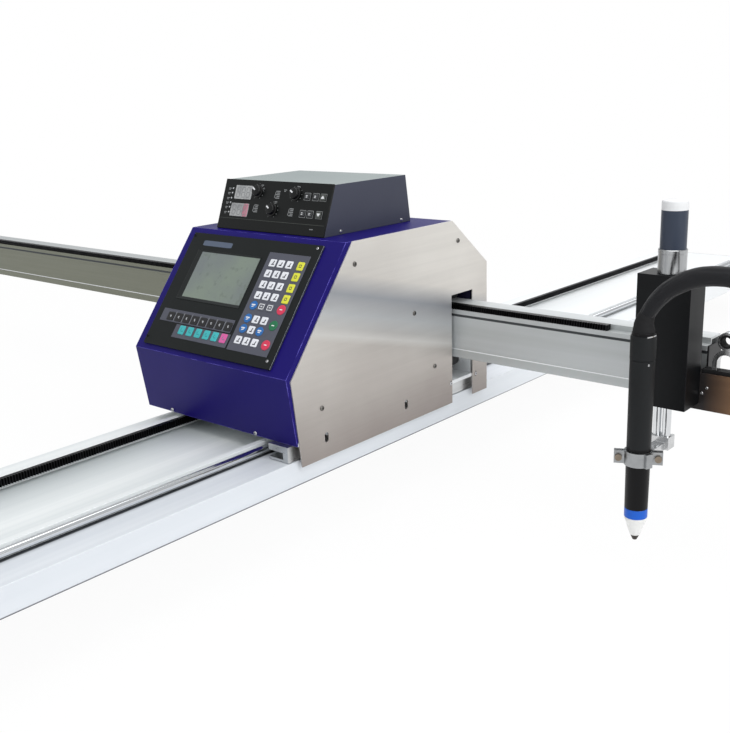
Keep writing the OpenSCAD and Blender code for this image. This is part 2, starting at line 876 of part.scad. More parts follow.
module lcd_screen() {
    color("darkseagreen")
        on_slope() translate([lcd_x, lcd_v, panel_t - 1 - lcd_t]) cube([lcd_w, lcd_h, lcd_t]);
}

module keypad_overlays() {
    color("darkslategray")
        on_slope() {
            translate([keypad_x, keypad_v, panel_t]) cube([keypad_w, keypad_h, overlay_t]);
            for (s = [strip_1, strip_2]) {
                translate([s[0], s[1], panel_t]) cube([s[2], s[3], overlay_t]);
            }
        }
}

module key(x, v, w, h) {
    translate([x - w / 2, v - h / 2, panel_t + overlay_t]) cube([w, h, key_rise]);
}

module keypad_keys() {
    color("whitesmoke")
        on_slope()
            for (row = key_rows, column = key_columns) {
                if (!(row == key_rows[6] && column == key_columns[3])) {
                    key(panel_x + column, panel_v + row, key_w, key_h);
                }
            }
}

module function_keys() {
    color("teal")
        on_slope() {
            for (i = [0 : row_1_keys - 1]) {
                key(strip_1[0] + 25 + i * row_key_step, strip_1[1] + 10, key_w, key_h);
            }
            for (i = [0 : row_2_keys - 1]) {
                key(strip_2[0] + 19 + i * row_key_step, strip_2[1] + 15, key_w, key_h + 1);
            }
        }
}

// Sheet box behind the panel, open towards it
module controller_housing() {
    wall = 1.5;
    w = panel_w - 2 * window_in - 2;
    h = panel_h - 2 * window_in - 2;
    color("dimgray")
        on_slope()
            translate([panel_x + window_in + 1, panel_v + window_in + 1, -controller_d])
                difference() {
                    cube([w, h, controller_d]);
                    translate([wall, wall, wall]) cube([w - 2 * wall, h - 2 * wall, controller_d]);
                }
}

module thc_case() {
    color("dimgray")
        difference() {
            prism_x([
                [thc_y, roof_z], [thc_top_y, roof_z + thc_h],
                [thc_back_y - thc_back_lean, roof_z + thc_h], [thc_back_y, roof_z]
            ], thc_x, thc_x + thc_w);
            // Hollow, open at the front behind the face plate
            prism_x([
                [thc_y - 5, roof_z + thc_sheet], [thc_top_y - 5, roof_z + thc_h - thc_sheet],
                [thc_back_y - thc_back_lean - thc_sheet, roof_z + thc_h - thc_sheet],
                [thc_back_y - thc_sheet * 1.2, roof_z + thc_sheet]
            ], thc_x + thc_sheet, thc_x + thc_w - thc_sheet);
            round_z(roof_z - 1, roof_z + thc_sheet + 1, cab_shift, thc_y + thc_len / 2, wire_hole_r);
        }
}

module thc_faceplate() {
    color("black")
        on_thc_face()
            difference() {
                cube([thc_w, thc_face_h, face_t]);
                for (p = knob_spots) {
                    translate([p[0], p[1], -1]) cylinder(h = face_t + 2, r = knob_shaft_r + run_gap);
                }
            }
}

module thc_displays() {
    color("darkred")
        on_thc_face() {
            translate([29, 53, face_t]) cube([42, 24, 0.8]);
            translate([26, 22.5, face_t]) cube([44, 23, 0.8]);
            for (v = led_heights) {
                translate([22, v, face_t]) cylinder(h = 1, r = 1.6, $fn = 24);
            }
        }
}

module thc_buttons() {
    color("dimgray")
        on_thc_face()
            for (p = thc_button_spots) {
                translate([p[0] - 5.5, p[1] - 4.5, face_t]) cube([11, 9, 2]);
            }
}

// Pointer knob with its shaft, whose pointer stands at the angle it has at rest
module thc_knob(p) {
    color("black")
        on_thc_face() translate([p[0], p[1], 0]) rotate([0, 0, knob_turn]) {
            translate([0, 0, -8]) cylinder(h = 8 + face_t + knob_gap + 1, r = knob_shaft_r);
            translate([0, 0, face_t + knob_gap]) difference() {
                cylinder(h = knob_h, r = knob_r);
                translate([-0.6, knob_r * 0.3, knob_h - 1]) cube([1.2, knob_r, 2]);
            }
        }
}

// Square stepper motor on a square gearbox
module geared_motor(gear_side, gear_h, side, h) {
    translate([-gear_side / 2, -gear_side / 2, 0]) cube([gear_side, gear_side, gear_h]);
    translate([-side / 2, -side / 2, gear_h - eps]) cube([side, side, h + eps]);
}

module y_motor() {
    color("dimgray")
        translate([y_pin_x, y_pin_y, base_top])
            geared_motor(gearbox_side, y_gearbox_h, y_motor_side, y_motor_h);
}

module y_pinion() {
    color("silver")
        translate([y_pin_x, y_pin_y, rail_rack_z + (rail_rack_h - pinion_w) / 2]) {
            pinion(180);
            cylinder(h = base_top - rail_rack_z - (rail_rack_h - pinion_w) / 2 - 0.3, r = pinion_shaft_r);
        }
}

module x_motor() {
    color("dimgray")
        translate([x_pin_x, x_pin_y, shelf_z + shelf_t])
            geared_motor(gearbox_side, x_gearbox_h, x_motor_side, x_motor_h);
}

module x_pinion() {
    color("silver")
        translate([x_pin_x, x_pin_y, x_pin_z]) {
            pinion(90);
            cylinder(h = shelf_z + shelf_t - x_pin_z - 0.3, r = pinion_shaft_r);
        }
}

// Roller with a round groove that rides on a guide rod
module rail_roller(side, y) {
    color("dimgray")
        translate([side * roller_x, y, rod_z])
            difference() {
                translate([0, 0, -rail_roller_w / 2]) cylinder(h = rail_roller_w, r = rail_roller_r);
                rotate_extrude($fn = 64) translate([groove_ring_r, 0]) circle(r = groove_r);
                translate([0, 0, -rail_roller_w]) cylinder(h = 2 * rail_roller_w, r = rail_axle_r + run_gap);
            }
}

module rail_roller_1() rail_roller(1, front_roller_y);
module rail_roller_2() rail_roller(1, rear_roller_y);
module rail_roller_3() rail_roller(-1, roller_ys(-1)[0]);
module rail_roller_4() rail_roller(-1, rear_roller_y);

module roller_axles() {
    color("silver")
        for (side = [-1, 1], y = roller_ys(side)) {
            round_z(slider_low, base_top + 1, side * roller_x, y, rail_axle_r);
            translate([side * roller_x, y, base_top]) cylinder(h = 6, r = rail_axle_r * 1.8, $fn = 6);
        }
    color("silver")
        for (x = [left_beam_roller_x, right_beam_roller_x], z = [low_roller_z, top_roller_z]) {
            round_y(guide_front, guide_back + 0.5, x, z, beam_axle_r);
            translate([x, guide_back, z]) rotate([-90, 0, 0]) cylinder(h = 5, r = beam_axle_r * 1.6, $fn = 6);
        }
}

// Frame that holds the beam's rollers, with a wall in front of the beam and one behind it
module beam_guide() {
    color("gainsboro")
        difference() {
            union() {
                box([guide_left, guide_front, base_top], [guide_right, guide_front + guide_wall, guide_top]);
                box([guide_left, guide_back - guide_wall, base_top], [guide_right, guide_back, guide_top]);
                // Shelf for the motor that drives the beam
                box([x_pin_x - gearbox_side, x_pin_y - gearbox_side / 2 - 2, shelf_z],
                    [x_pin_x + gearbox_side, guide_back, shelf_z + shelf_t]);
                for (x = [left_beam_roller_x, right_beam_roller_x], z = [low_roller_z, top_roller_z]) {
                    round_y(guide_front, roller_mid_y - beam_roller_w / 2 - 0.3, x, z, beam_axle_r + 2);
                    round_y(roller_mid_y + beam_roller_w / 2 + 0.3, guide_back, x, z, beam_axle_r + 2);
                }
            }
            // Room for the pinion and its gearbox in the front wall
            box([x_pin_x - pinion_tip_r - 6, guide_front - 1, beam_top - rabbet_h - 6],
                [x_pin_x + pinion_tip_r + 6, guide_front + guide_wall + 1, shelf_z]);
            box([x_pin_x - gearbox_side / 2 - 1, guide_front - 1, shelf_z + shelf_t],
                [x_pin_x + gearbox_side / 2 + 1, guide_front + guide_wall + 1, guide_top + 1]);
            round_z(shelf_z - 1, shelf_z + shelf_t + 1, x_pin_x, x_pin_y, pinion_shaft_r + 1);
            for (x = [left_beam_roller_x, right_beam_roller_x], z = [low_roller_z, top_roller_z]) {
                round_y(guide_front - 1, guide_back + 1, x, z, beam_axle_r + seat_gap);
            }
        }
}

module beam_roller(x, z) {
    color("black")
        difference() {
            round_y(roller_mid_y - beam_roller_w / 2, roller_mid_y + beam_roller_w / 2, x, z, beam_roller_r);
            round_y(roller_mid_y - beam_roller_w, roller_mid_y + beam_roller_w, x, z, beam_axle_r + run_gap);
        }
}

module beam_roller_1() beam_roller(right_beam_roller_x, top_roller_z);
module beam_roller_2() beam_roller(right_beam_roller_x, low_roller_z);
module beam_roller_3() beam_roller(left_beam_roller_x, top_roller_z);
module beam_roller_4() beam_roller(left_beam_roller_x, low_roller_z);

module power_supply() {
    color("silver")
        translate([cab_shift + 20, cab_foot + 110.5, base_top])
            difference() {
                cube(supply_size);
                for (i = [0 : 11]) {
                    translate([-1, 30 + i * 12, 12]) cube(supply_vent);
                }
            }
}

// Round sockets, with a flange outside the back sheet and a body inside
module rear_sockets() {
    color("silver")
        for (dx = socket_spots) {
            difference() {
                union() {
                    round_y(cab_back, cab_back + 3, socket_x + dx, socket_z, 14);
                    round_y(cab_back - 18, cab_back + 12, socket_x + dx, socket_z, 11);
                }
                round_y(cab_back + 2, cab_back + 13, socket_x + dx, socket_z, 8.5);
            }
        }
    // Frame of the power switch
    color("black")
        difference() {
            union() {
                box([switch_x - switch_w / 2 - 2, cab_back, socket_z - switch_h / 2 - 2],
                    [switch_x + switch_w / 2 + 2, cab_back + 2, socket_z + switch_h / 2 + 2]);
                box([switch_x - switch_w / 2, cab_back - 20, socket_z - switch_h / 2],
                    [switch_x + switch_w / 2, cab_back + 1, socket_z + switch_h / 2]);
            }
            box([switch_x - switch_w / 2 + 2, cab_back - 18, socket_z - switch_h / 2 + 2],
                [switch_x + switch_w / 2 - 2, cab_back + 3, socket_z + switch_h / 2 - 2]);
            round_x(switch_x - switch_w, switch_x + switch_w, cab_back - pivot_in, socket_z, 1.5 + run_gap);
        }
}

// Rocker on its pivot, pressed in at its lower end
module power_switch() {
    half = switch_h / 2 - 4;
    color("red")
        translate([0, cab_back - pivot_in, socket_z]) rotate([-rocker_tilt, 0, 0]) {
            prism_x([[-5, -6], [-5, 6], [7, half], [8.5, half - 1], [6.5, 0], [8.5, 1 - half], [7, -half]],
                switch_x - switch_w / 2 + 2.5, switch_x + switch_w / 2 - 2.5);
            translate([switch_x - switch_w / 2, 0, 0]) rotate([0, 90, 0]) cylinder(h = switch_w, r = 1.5);
        }
}

// Outline of the beam's section, in Y and Z
module beam_section() {
    d = beam_d;
    h = beam_h;
    w = beam_wall;
    difference() {
        polygon([
            [0, 0], [d, 0], [d, h], [rabbet_d, h], [rabbet_d, h - rabbet_h], [0, h - rabbet_h],
            [0, h - rabbet_h - 8], [groove_d, h - rabbet_h - 8.6], [groove_d, h - rabbet_h - 10.8],
            [0.2, h - rabbet_h - 11.4], [face_recess, h - rabbet_h - 12.5], [face_recess, 16], [0, 15]
        ]);
        polygon([
            [w + 1, w], [d - w, w], [d - w, h - w], [rabbet_d + w, h - w],
            [rabbet_d + w, h - rabbet_h - w], [w + 1, h - rabbet_h - w]
        ]);
    }
}

module beam_profile() {
    color("lightsteelblue")
        translate([beam_left + beam_cap_t, beam_front, beam_z])
            rotate([90, 0, 90]) linear_extrude(beam_len - 2 * beam_cap_t) beam_section();
}

module beam_rack() {
    piece_len = beam_rack_teeth * tooth_pitch;
    start = x_pin_x - (round((x_pin_x - beam_rack_start) / tooth_pitch) + 0.5) * tooth_pitch;
    color("dimgray")
        for (i = [0 : beam_rack_pieces - 1]) {
            translate([start + i * piece_len, beam_front + rabbet_d, rabbet_z]) mirror([0, 1, 0])
                rack_piece(beam_rack_teeth, beam_rack_back, rabbet_h);
        }
}

module beam_end_caps() {
    color("black")
        for (x = [beam_left, beam_end - beam_cap_t]) {
            box([x, beam_front + 1, beam_z], [x + beam_cap_t, beam_back, rabbet_z]);
        }
}

// Channel on the beam's end, open towards the beam, with a packing block behind its web
module lifter_bracket() {
    web_back = bracket_y + bracket_t;
    seat = beam_front + face_recess;
    color("rosybrown")
        difference() {
            union() {
                box([bracket_left, bracket_y, bracket_z], [bracket_right, web_back, bracket_top]);
                box([bracket_left, bracket_y, bracket_top - bracket_t], [bracket_right, seat, bracket_top]);
                box([bracket_left, bracket_y, bracket_z], [bracket_right, beam_front, bracket_z + bracket_t]);
                box([bracket_left + 10, bracket_y, beam_z + 20], [beam_end - 10, seat, beam_z + 44]);
                // Shelf that carries the hose's coupling
                box([coupling_x - shelf_half, coupling_y - shelf_half, bracket_top - bracket_t],
                    [bracket_right, web_back, bracket_top]);
            }
            round_z(bracket_z, bracket_top + 1, coupling_x, coupling_y, shank_r + seat_gap);
        }
}

// Lays two copies where the lifter's rods stand
module at_lift_rods() {
    for (side = [-1, 1]) {
        translate([lift_rod_mid_x + side * lift_rod_step / 2, lift_rod_y, 0]) children();
    }
}

module lifter_housing() {
    half = lifter_w / 2;
    color("black")
        difference() {
            box([lifter_x - half, box_front_y, lifter_z], [lifter_x + half, box_back_y, lifter_top]);
            box([lifter_x - half + box_wall, box_front_y + box_wall, lifter_z + box_floor],
                [lifter_x + half - box_wall, box_back_y - box_wall, lifter_top - box_wall]);
            at_lift_rods() round_z(lifter_z - 1, lifter_z + box_floor + 1, 0, 0, lift_rod_r + run_gap);
            round_z(lifter_top - box_wall - 1, lifter_top + 1, lifter_x, lifter_y, screw_r + 2);
        }
}

module lifter_motor() {
    can_z = lifter_top + lift_gearbox_h;
    cap_z = can_z + lift_motor_h;
    color("silver") round_z(lifter_top, can_z, lifter_x, lifter_y, lift_gearbox_r);
    color("slategray") round_z(can_z - eps, cap_z, lifter_x, lifter_y, lift_motor_r);
    color("white") round_z(cap_z - eps, cap_z + lift_cap_h, lifter_x, lifter_y, lift_motor_r);
}

module lead_screw() {
    color("silver") round_z(lifter_z + box_floor + 6, lifter_top - 0.3, lifter_x, lifter_y, screw_r);
}

// Saddle on a rubber strip on the bracket, with a lined ring for a cable on top of it
module cable_clamp() {
    x0 = lifter_x + lifter_w / 2 + 1;
    y0 = bracket_y + 2;
    y1 = bracket_y + bracket_d - 2;
    mid_x = x0 + 34;
    foot_z = bracket_top + 6;
    saddle_r = 20;
    arch_r = 12.5;
    arch_z = foot_z + arch_r;
    cable_r = 14;
    lining_r = 10;
    cable_z = arch_z + saddle_r + cable_r - 1;
    color("black")
        box([x0, y0, bracket_top], [coupling_x - shelf_half - 4, y1, foot_z - seat_gap]);
    color("silver")
        difference() {
            union() {
                round_y(y0 + 2, y1 - 2, mid_x, arch_z, saddle_r);
                box([mid_x - saddle_r, y0 + 2, foot_z], [mid_x + saddle_r, y1 - 2, arch_z]);
                round_y(y0 + 2, y1 - 2, mid_x, cable_z, cable_r);
            }
            round_y(y0, y1, mid_x, arch_z, arch_r);
            box([mid_x - arch_r, y0, foot_z - 1], [mid_x + arch_r, y1, arch_z]);
            round_y(y0, y1, mid_x, cable_z, lining_r);
            box([mid_x - saddle_r - 1, y0, bracket_top - saddle_r], [mid_x + saddle_r + 1, y1, foot_z]);
        }
    color("black")
        difference() {
            round_y(y0 + 1, y1 - 1, mid_x, cable_z, lining_r - seat_gap);
            round_y(y0, y1, mid_x, cable_z, lining_r - 3);
        }
}

// Coupling on the shelf, with the stub below it that takes the supply's lead
module hose_coupling() {
    nut_foot = bracket_top - bracket_t - 5;
    color("goldenrod") {
        round_z(bracket_top, bracket_top + 10, coupling_x, coupling_y, coupling_r);
        round_z(bracket_top + 10 - eps, bracket_top + coupling_h, coupling_x, coupling_y, hose_r + 1);
        round_z(nut_foot, bracket_top + eps, coupling_x, coupling_y, shank_r);
        round_z(nut_foot, bracket_top - bracket_t, coupling_x, coupling_y, coupling_r - 1);
        round_z(bracket_top - stub_h, nut_foot + eps, coupling_x, coupling_y, stub_r);
    }
}

module lift_block() {
    block_top = block_z + block_h;
    block_half = lift_rod_step / 2 + lift_rod_r + 2;
    color("silver")
        difference() {
            union() {
                box([lift_rod_mid_x - block_half, lift_rod_y - 10, block_z],
                    [lift_rod_mid_x + block_half, lift_rod_y + 12, block_top]);
                // Arm that carries the torch's clamp
                box([arm_left, clamp_back_y, block_z], [arm_right, lift_rod_y - 9, block_z + arm_h]);
            }
            at_lift_rods() round_z(rod_foot_z, block_top + 1, 0, 0, lift_rod_r + seat_gap);
        }
    // Crosshead inside the box, driven by the lead screw
    head_top = crosshead_z + crosshead_h;
    color("gray")
        difference() {
            box([lifter_x - 14, lift_rod_y - lift_rod_r - 3, crosshead_z],
                [lifter_x + 26, lifter_y + screw_r + 8, head_top]);
            at_lift_rods() round_z(crosshead_z - 1, head_top + 1, 0, 0, lift_rod_r + seat_gap);
            round_z(crosshead_z - 1, head_top + 1, lifter_x, lifter_y, screw_r + run_gap);
        }
}

module lifter_rods() {
    color("silver") at_lift_rods() round_z(rod_foot_z, crosshead_z + crosshead_h, 0, 0, lift_rod_r);
}

// Frame of the clamp on the torch's axis, with its lugs along X
module at_clamp() {
    translate([torch_x, torch_y, 0]) rotate([0, 0, lug_turn]) children();
}

// Half of the torch's clamp, with a lug at each end
module clamp_half(front) {
    far = 60;
    clamp_top = clamp_z + clamp_h;
    boss_w = 11;
    boss_t = 4;
    at_clamp()
        difference() {
            union() {
                round_z(clamp_z, clamp_top, 0, 0, clamp_ring_r);
                box([-clamp_reach, -lug_face, clamp_z + 1], [clamp_reach, lug_face, clamp_top - 1]);
                if (front) {
                    rotate([0, 0, -50])
                        box([clamp_ring_r - 2, -boss_w / 2, clamp_z],
                            [clamp_ring_r + boss_t, boss_w / 2, clamp_top]);
                }
            }
            round_z(clamp_z - 1, clamp_top + 1, 0, 0, torch_neck_r + seat_gap);
            box([-far, front ? -clamp_split / 2 : -far, clamp_z - 1],
                [far, front ? far : clamp_split / 2, clamp_top + 1]);
            for (side = [-1, 1]) {
                round_y(-far, far, side * clamp_bolt_x, clamp_mid_z, clamp_bolt_r + seat_gap);
            }
        }
    // Pad that meets the arm of the lift block
    if (!front) {
        difference() {
            box([arm_left, torch_y + clamp_ring_r / 2, clamp_z], [arm_right, clamp_back_y, clamp_top - 5]);
            round_z(clamp_z - 1, clamp_top + 1, torch_x, torch_y, torch_neck_r + seat_gap);
        }
    }
}

module torch_clamp() {
    color("silver") clamp_half(true);
    color("gray") clamp_half(false);
    color("dimgray")
        at_clamp()
            for (side = [-1, 1]) {
                x = side * clamp_bolt_x;
                round_y(-8, 8, x, clamp_mid_z, clamp_bolt_r);
                round_y(-lug_face - 4, -lug_face - seat_gap, x, clamp_mid_z, 5);
                round_y(lug_face + seat_gap, lug_face + 3, x, clamp_mid_z, 4.5);
            }
}

module torch_body() {
    neck_top = clamp_z + clamp_h + 4;
    sleeve_z = torch_top - sleeve_h;
    collar_h = 4;
    color("dimgray") {
        translate([torch_x, torch_y, torch_foot])
            cylinder(h = neck_z - torch_foot, r1 = torch_neck_r - 0.75, r2 = torch_neck_r);
        round_z(neck_z, neck_top, torch_x, torch_y, torch_neck_r);
        translate([torch_x, torch_y, neck_top])
            cylinder(h = sleeve_z - neck_top, r1 = torch_neck_r, r2 = torch_r - 0.3);
        round_z(sleeve_z - eps, torch_top - collar_h, torch_x, torch_y, torch_r);
        round_z(torch_top - collar_h - eps, torch_top, torch_x, torch_y, hose_r + 2.5);
    }
}

module torch_ring() {
    color("royalblue") round_z(ring_z, torch_foot, torch_x, torch_y, torch_neck_r - 0.5);
}

module torch_nozzle() {
    rim_z = ring_z - nozzle_rim_h;
    cone_z = tip_h + tip_len;
    color("white") {
        round_z(rim_z, ring_z, torch_x, torch_y, torch_neck_r - 1);
        translate([torch_x, torch_y, cone_z])
            cylinder(h = rim_z - cone_z + eps, r1 = 7.2, r2 = torch_neck_r - 1.5);
    }
}

module torch_tip() {
    color("dimgray") translate([torch_x, torch_y, tip_h]) cylinder(h = tip_len, r1 = 3, r2 = 6.8);
}

// Tube swept along the hose's route
function unit(v) = v / norm(v);
function route_dir(i) =
    i == 0 ? unit(hose_route[1] - hose_route[0])
    : i == hose_last ? unit(hose_route[i] - hose_route[i - 1])
    : unit(unit(hose_route[i + 1] - hose_route[i]) + unit(hose_route[i] - hose_route[i - 1]));
hose_side_dir = unit([45, -100, 0]);
function ring_point(i, k) =
    let (
        up = unit(cross(hose_side_dir, route_dir(i))),
        a = 360 * k / hose_sides
    )
    hose_route[i] + hose_r * (cos(a) * hose_side_dir + sin(a) * up);
hose_points = [for (i = [0 : hose_last], k = [0 : hose_sides - 1]) ring_point(i, k)];
function hose_index(i, k) = i * hose_sides + k % hose_sides;
hose_faces = concat(
    [[for (k = [0 : hose_sides - 1]) hose_index(0, k)]],
    [for (i = [0 : hose_last - 1], k = [0 : hose_sides - 1])
        [hose_index(i, k), hose_index(i + 1, k), hose_index(i + 1, k + 1), hose_index(i, k + 1)]],
    [[for (k = [0 : hose_sides - 1]) hose_index(hose_last, hose_sides - 1 - k)]]
);

module torch_hose() {
    color("dimgray") polyhedron(points = hose_points, faces = hose_faces, convexity = 4);
}

rail_profile();
rail_rack();
guide_rods();
rail_end_caps();
end_stops();
cross_bars();
levelling_feet();
base_plate();
slider_bars();
cover_shell();
side_plate_right();
side_plate_left();
cover_screws();
control_panel();
lcd_screen();
keypad_overlays();
keypad_keys();
function_keys();
controller_housing();
thc_case();
thc_faceplate();
thc_displays();
thc_buttons();
thc_knob(knob_spots[0]);  // thc_knob_1
thc_knob(knob_spots[1]);  // thc_knob_2
thc_knob(knob_spots[2]);  // thc_knob_3
y_motor();
y_pinion();
x_motor();
x_pinion();
rail_roller_1();
rail_roller_2();
rail_roller_3();
rail_roller_4();
roller_axles();
beam_guide();
beam_roller_1();
beam_roller_2();
beam_roller_3();
beam_roller_4();
power_supply();
rear_sockets();
power_switch();
beam_profile();
beam_rack();
beam_end_caps();
lifter_bracket();
lifter_housing();
lifter_motor();
lead_screw();
cable_clamp();
hose_coupling();
lift_block();
lifter_rods();
torch_clamp();
torch_body();
torch_ring();
torch_nozzle();
torch_tip();
torch_hose();
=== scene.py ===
import json
import math

import bmesh
import bpy
from mathutils import Matrix, Vector, noise

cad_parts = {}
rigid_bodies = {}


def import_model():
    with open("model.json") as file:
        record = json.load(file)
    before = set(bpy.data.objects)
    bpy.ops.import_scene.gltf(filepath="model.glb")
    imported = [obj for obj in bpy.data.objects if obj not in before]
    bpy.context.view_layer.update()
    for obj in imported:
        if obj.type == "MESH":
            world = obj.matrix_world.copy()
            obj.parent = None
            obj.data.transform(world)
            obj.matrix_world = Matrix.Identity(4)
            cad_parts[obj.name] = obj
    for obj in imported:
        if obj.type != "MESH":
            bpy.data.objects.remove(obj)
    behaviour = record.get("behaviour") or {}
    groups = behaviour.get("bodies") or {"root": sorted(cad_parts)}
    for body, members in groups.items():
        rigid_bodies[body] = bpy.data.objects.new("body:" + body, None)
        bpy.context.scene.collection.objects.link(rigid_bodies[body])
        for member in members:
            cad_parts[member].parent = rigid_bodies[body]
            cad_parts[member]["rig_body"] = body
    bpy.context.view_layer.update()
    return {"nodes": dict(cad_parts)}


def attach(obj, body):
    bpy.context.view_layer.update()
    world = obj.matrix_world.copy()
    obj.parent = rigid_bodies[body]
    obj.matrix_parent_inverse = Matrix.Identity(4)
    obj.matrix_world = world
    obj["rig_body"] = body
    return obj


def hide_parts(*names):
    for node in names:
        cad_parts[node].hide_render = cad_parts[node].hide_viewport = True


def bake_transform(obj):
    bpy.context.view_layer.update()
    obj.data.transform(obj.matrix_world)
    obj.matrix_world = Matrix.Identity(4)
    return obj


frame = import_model()
mm = 0.001


# Camera
camera = {
    "place": (1.21596, -1.60005, 0.70208),
    "right": (0.75836, 0.65101, -0.03289),
    "up": (-0.15446, 0.22848, 0.96122),
    "focalInPixels": 993.62,
    "pictureHeight": 733,
    "farClip": 60,
}


def makeCamera():
    data = bpy.data.cameras.new("photoCamera")
    data.lens = camera["focalInPixels"] / camera["pictureHeight"] * data.sensor_width
    data.clip_end = camera["farClip"]
    right = Vector(camera["right"])
    up = Vector(camera["up"])
    turn = Matrix((right, up, right.cross(up))).transposed()
    made = bpy.data.objects.new("photoCamera", data)
    made.matrix_world = Matrix.Translation(camera["place"]) @ turn.to_4x4()
    bpy.context.scene.collection.objects.link(made)
    bpy.context.scene.camera = made


makeCamera()
print("camera placed")


# Mesh helpers; mats holds the finishes by name, further down
def addObject(name, mesh, finish=None):
    made = bpy.data.objects.new(name, mesh)
    if finish:
        mesh.materials.append(mats[finish])
    bpy.context.scene.collection.objects.link(made)
    return made


def meshFrom(name, points, faces):
    mesh = bpy.data.meshes.new(name)
    mesh.from_pydata([tuple(p) for p in points], [], faces)
    mesh.validate()
    return mesh


def smoothByAngle(mesh, degrees=32):
    mesh.polygons.foreach_set("use_smooth", [True] * len(mesh.polygons))
    mesh.set_sharp_from_angle(angle=math.radians(degrees))


def finishMesh(made, name):
    # Turns what the live modifiers make into a plain mesh at the origin
    graph = bpy.context.evaluated_depsgraph_get()
    mesh = bpy.data.meshes.new_from_object(made.evaluated_get(graph))
    old = made.data
    bpy.data.objects.remove(made)
    bpy.data.meshes.remove(old)
    mesh.name = name
    return addObject(name, mesh)


def skin(name, rings, finish=None, degrees=32):
    # Joins closed rings of equal length, and closes both ends; 0 degrees leaves it flat shaded
    sides = len(rings[0])
    faces = []
    for i in range(len(rings) - 1):
        for k in range(sides):
            n = (k + 1) % sides
            faces.append((i * sides + k, i * sides + n, (i + 1) * sides + n, (i + 1) * sides + k))
    faces.append(tuple(reversed(range(sides))))
    faces.append(tuple(range((len(rings) - 1) * sides, len(rings) * sides)))
    mesh = meshFrom(name, [point for ring in rings for point in ring], faces)
    if degrees:
        smoothByAngle(mesh, degrees)
    return addObject(name, mesh, finish)


def anglesRound(sides):
    return [2 * math.pi * k / sides for k in range(sides)]


def polar(radius, angle, height, centre=(0, 0)):
    # A point round an upright axis, given in mm
    x, y = centre
    return Vector((x + radius * math.cos(angle), y + radius * math.sin(angle), height)) * mm


def turned(profile, sides, centre=(0, 0)):
    # Round rings from a list of (radius, height) in mm, from the lower end up
    return [[polar(r, a, z, centre) for a in anglesRound(sides)] for r, z in profile]


def hexagon(radius, height, sides=24):
    # A hexagon with as many points as the circles that it is joined to
    ring = []
    for a in anglesRound(sides):
        reach = radius * math.cos(math.pi / 6) / math.cos(a % (math.pi / 3) - math.pi / 6)
        ring.append(polar(reach, a, height))
    return ring


def softRectangle(width, height, corner, lift, steps=4):
    ring = []
    for sx, sy, start in ((1, -1, -90), (1, 1, 0), (-1, 1, 90), (-1, -1, 180)):
        centre = (sx * (width / 2 - corner), sy * (height / 2 - corner))
        for k in range(steps + 1):
            ring.append(polar(corner, math.radians(start + 90 * k / steps), lift, centre))
    return ring


def lathe(name, profile, centre, finish, sides=72):
    return skin(name, turned(profile, sides, centre), finish)


def at(x, y, z):
    # A place in mm
    return Matrix.Translation(Vector((x, y, z)) * mm)


def turnedBy(degrees, axis):
    return Matrix.Rotation(math.radians(degrees), 4, axis)


def rideAs(made, node):
    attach(made, frame["nodes"][node]["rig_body"])
    return made


def standFor(made, node):
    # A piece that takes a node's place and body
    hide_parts(node)
    return rideAs(made, node)


def goWith(made, node):
    # An added piece that sits on a node and moves with it
    return rideAs(made, node)


# Node trees
def feed(node, feeds):
    # Sets inputs of a node, each to a value or from another node's output
    for key, value in feeds.items():
        if isinstance(value, bpy.types.NodeSocket):
            node.id_data.links.new(value, node.inputs[key])
        else:
            node.inputs[key].default_value = value


def nodeIn(tree, kind, feeds=None, **values):
    made = tree.nodes.new(kind)
    for key, value in values.items():
        setattr(made, key, value)
    feed(made, feeds or {})
    return made


def mathIn(tree, operation, *feeds, **values):
    made = nodeIn(tree, "ShaderNodeMath", dict(enumerate(feeds)), operation=operation, **values)
    return made.outputs[0]


def rangedIn(tree, value, low, high, start, end, **values):
    # The run from start to end becomes the run from low to high
    made = nodeIn(tree, "ShaderNodeMapRange", {
        "Value": value, "From Min": start, "From Max": end, "To Min": low, "To Max": high,
    }, **values)
    return made.outputs["Result"]


def noiseIn(tree, vector, scale, detail=2):
    made = nodeIn(tree, "ShaderNodeTexNoise", {"Vector": vector, "Scale": scale, "Detail": detail})
    return made.outputs["Fac"]


def objectPlace(tree):
    return nodeIn(tree, "ShaderNodeTexCoord").outputs["Object"]


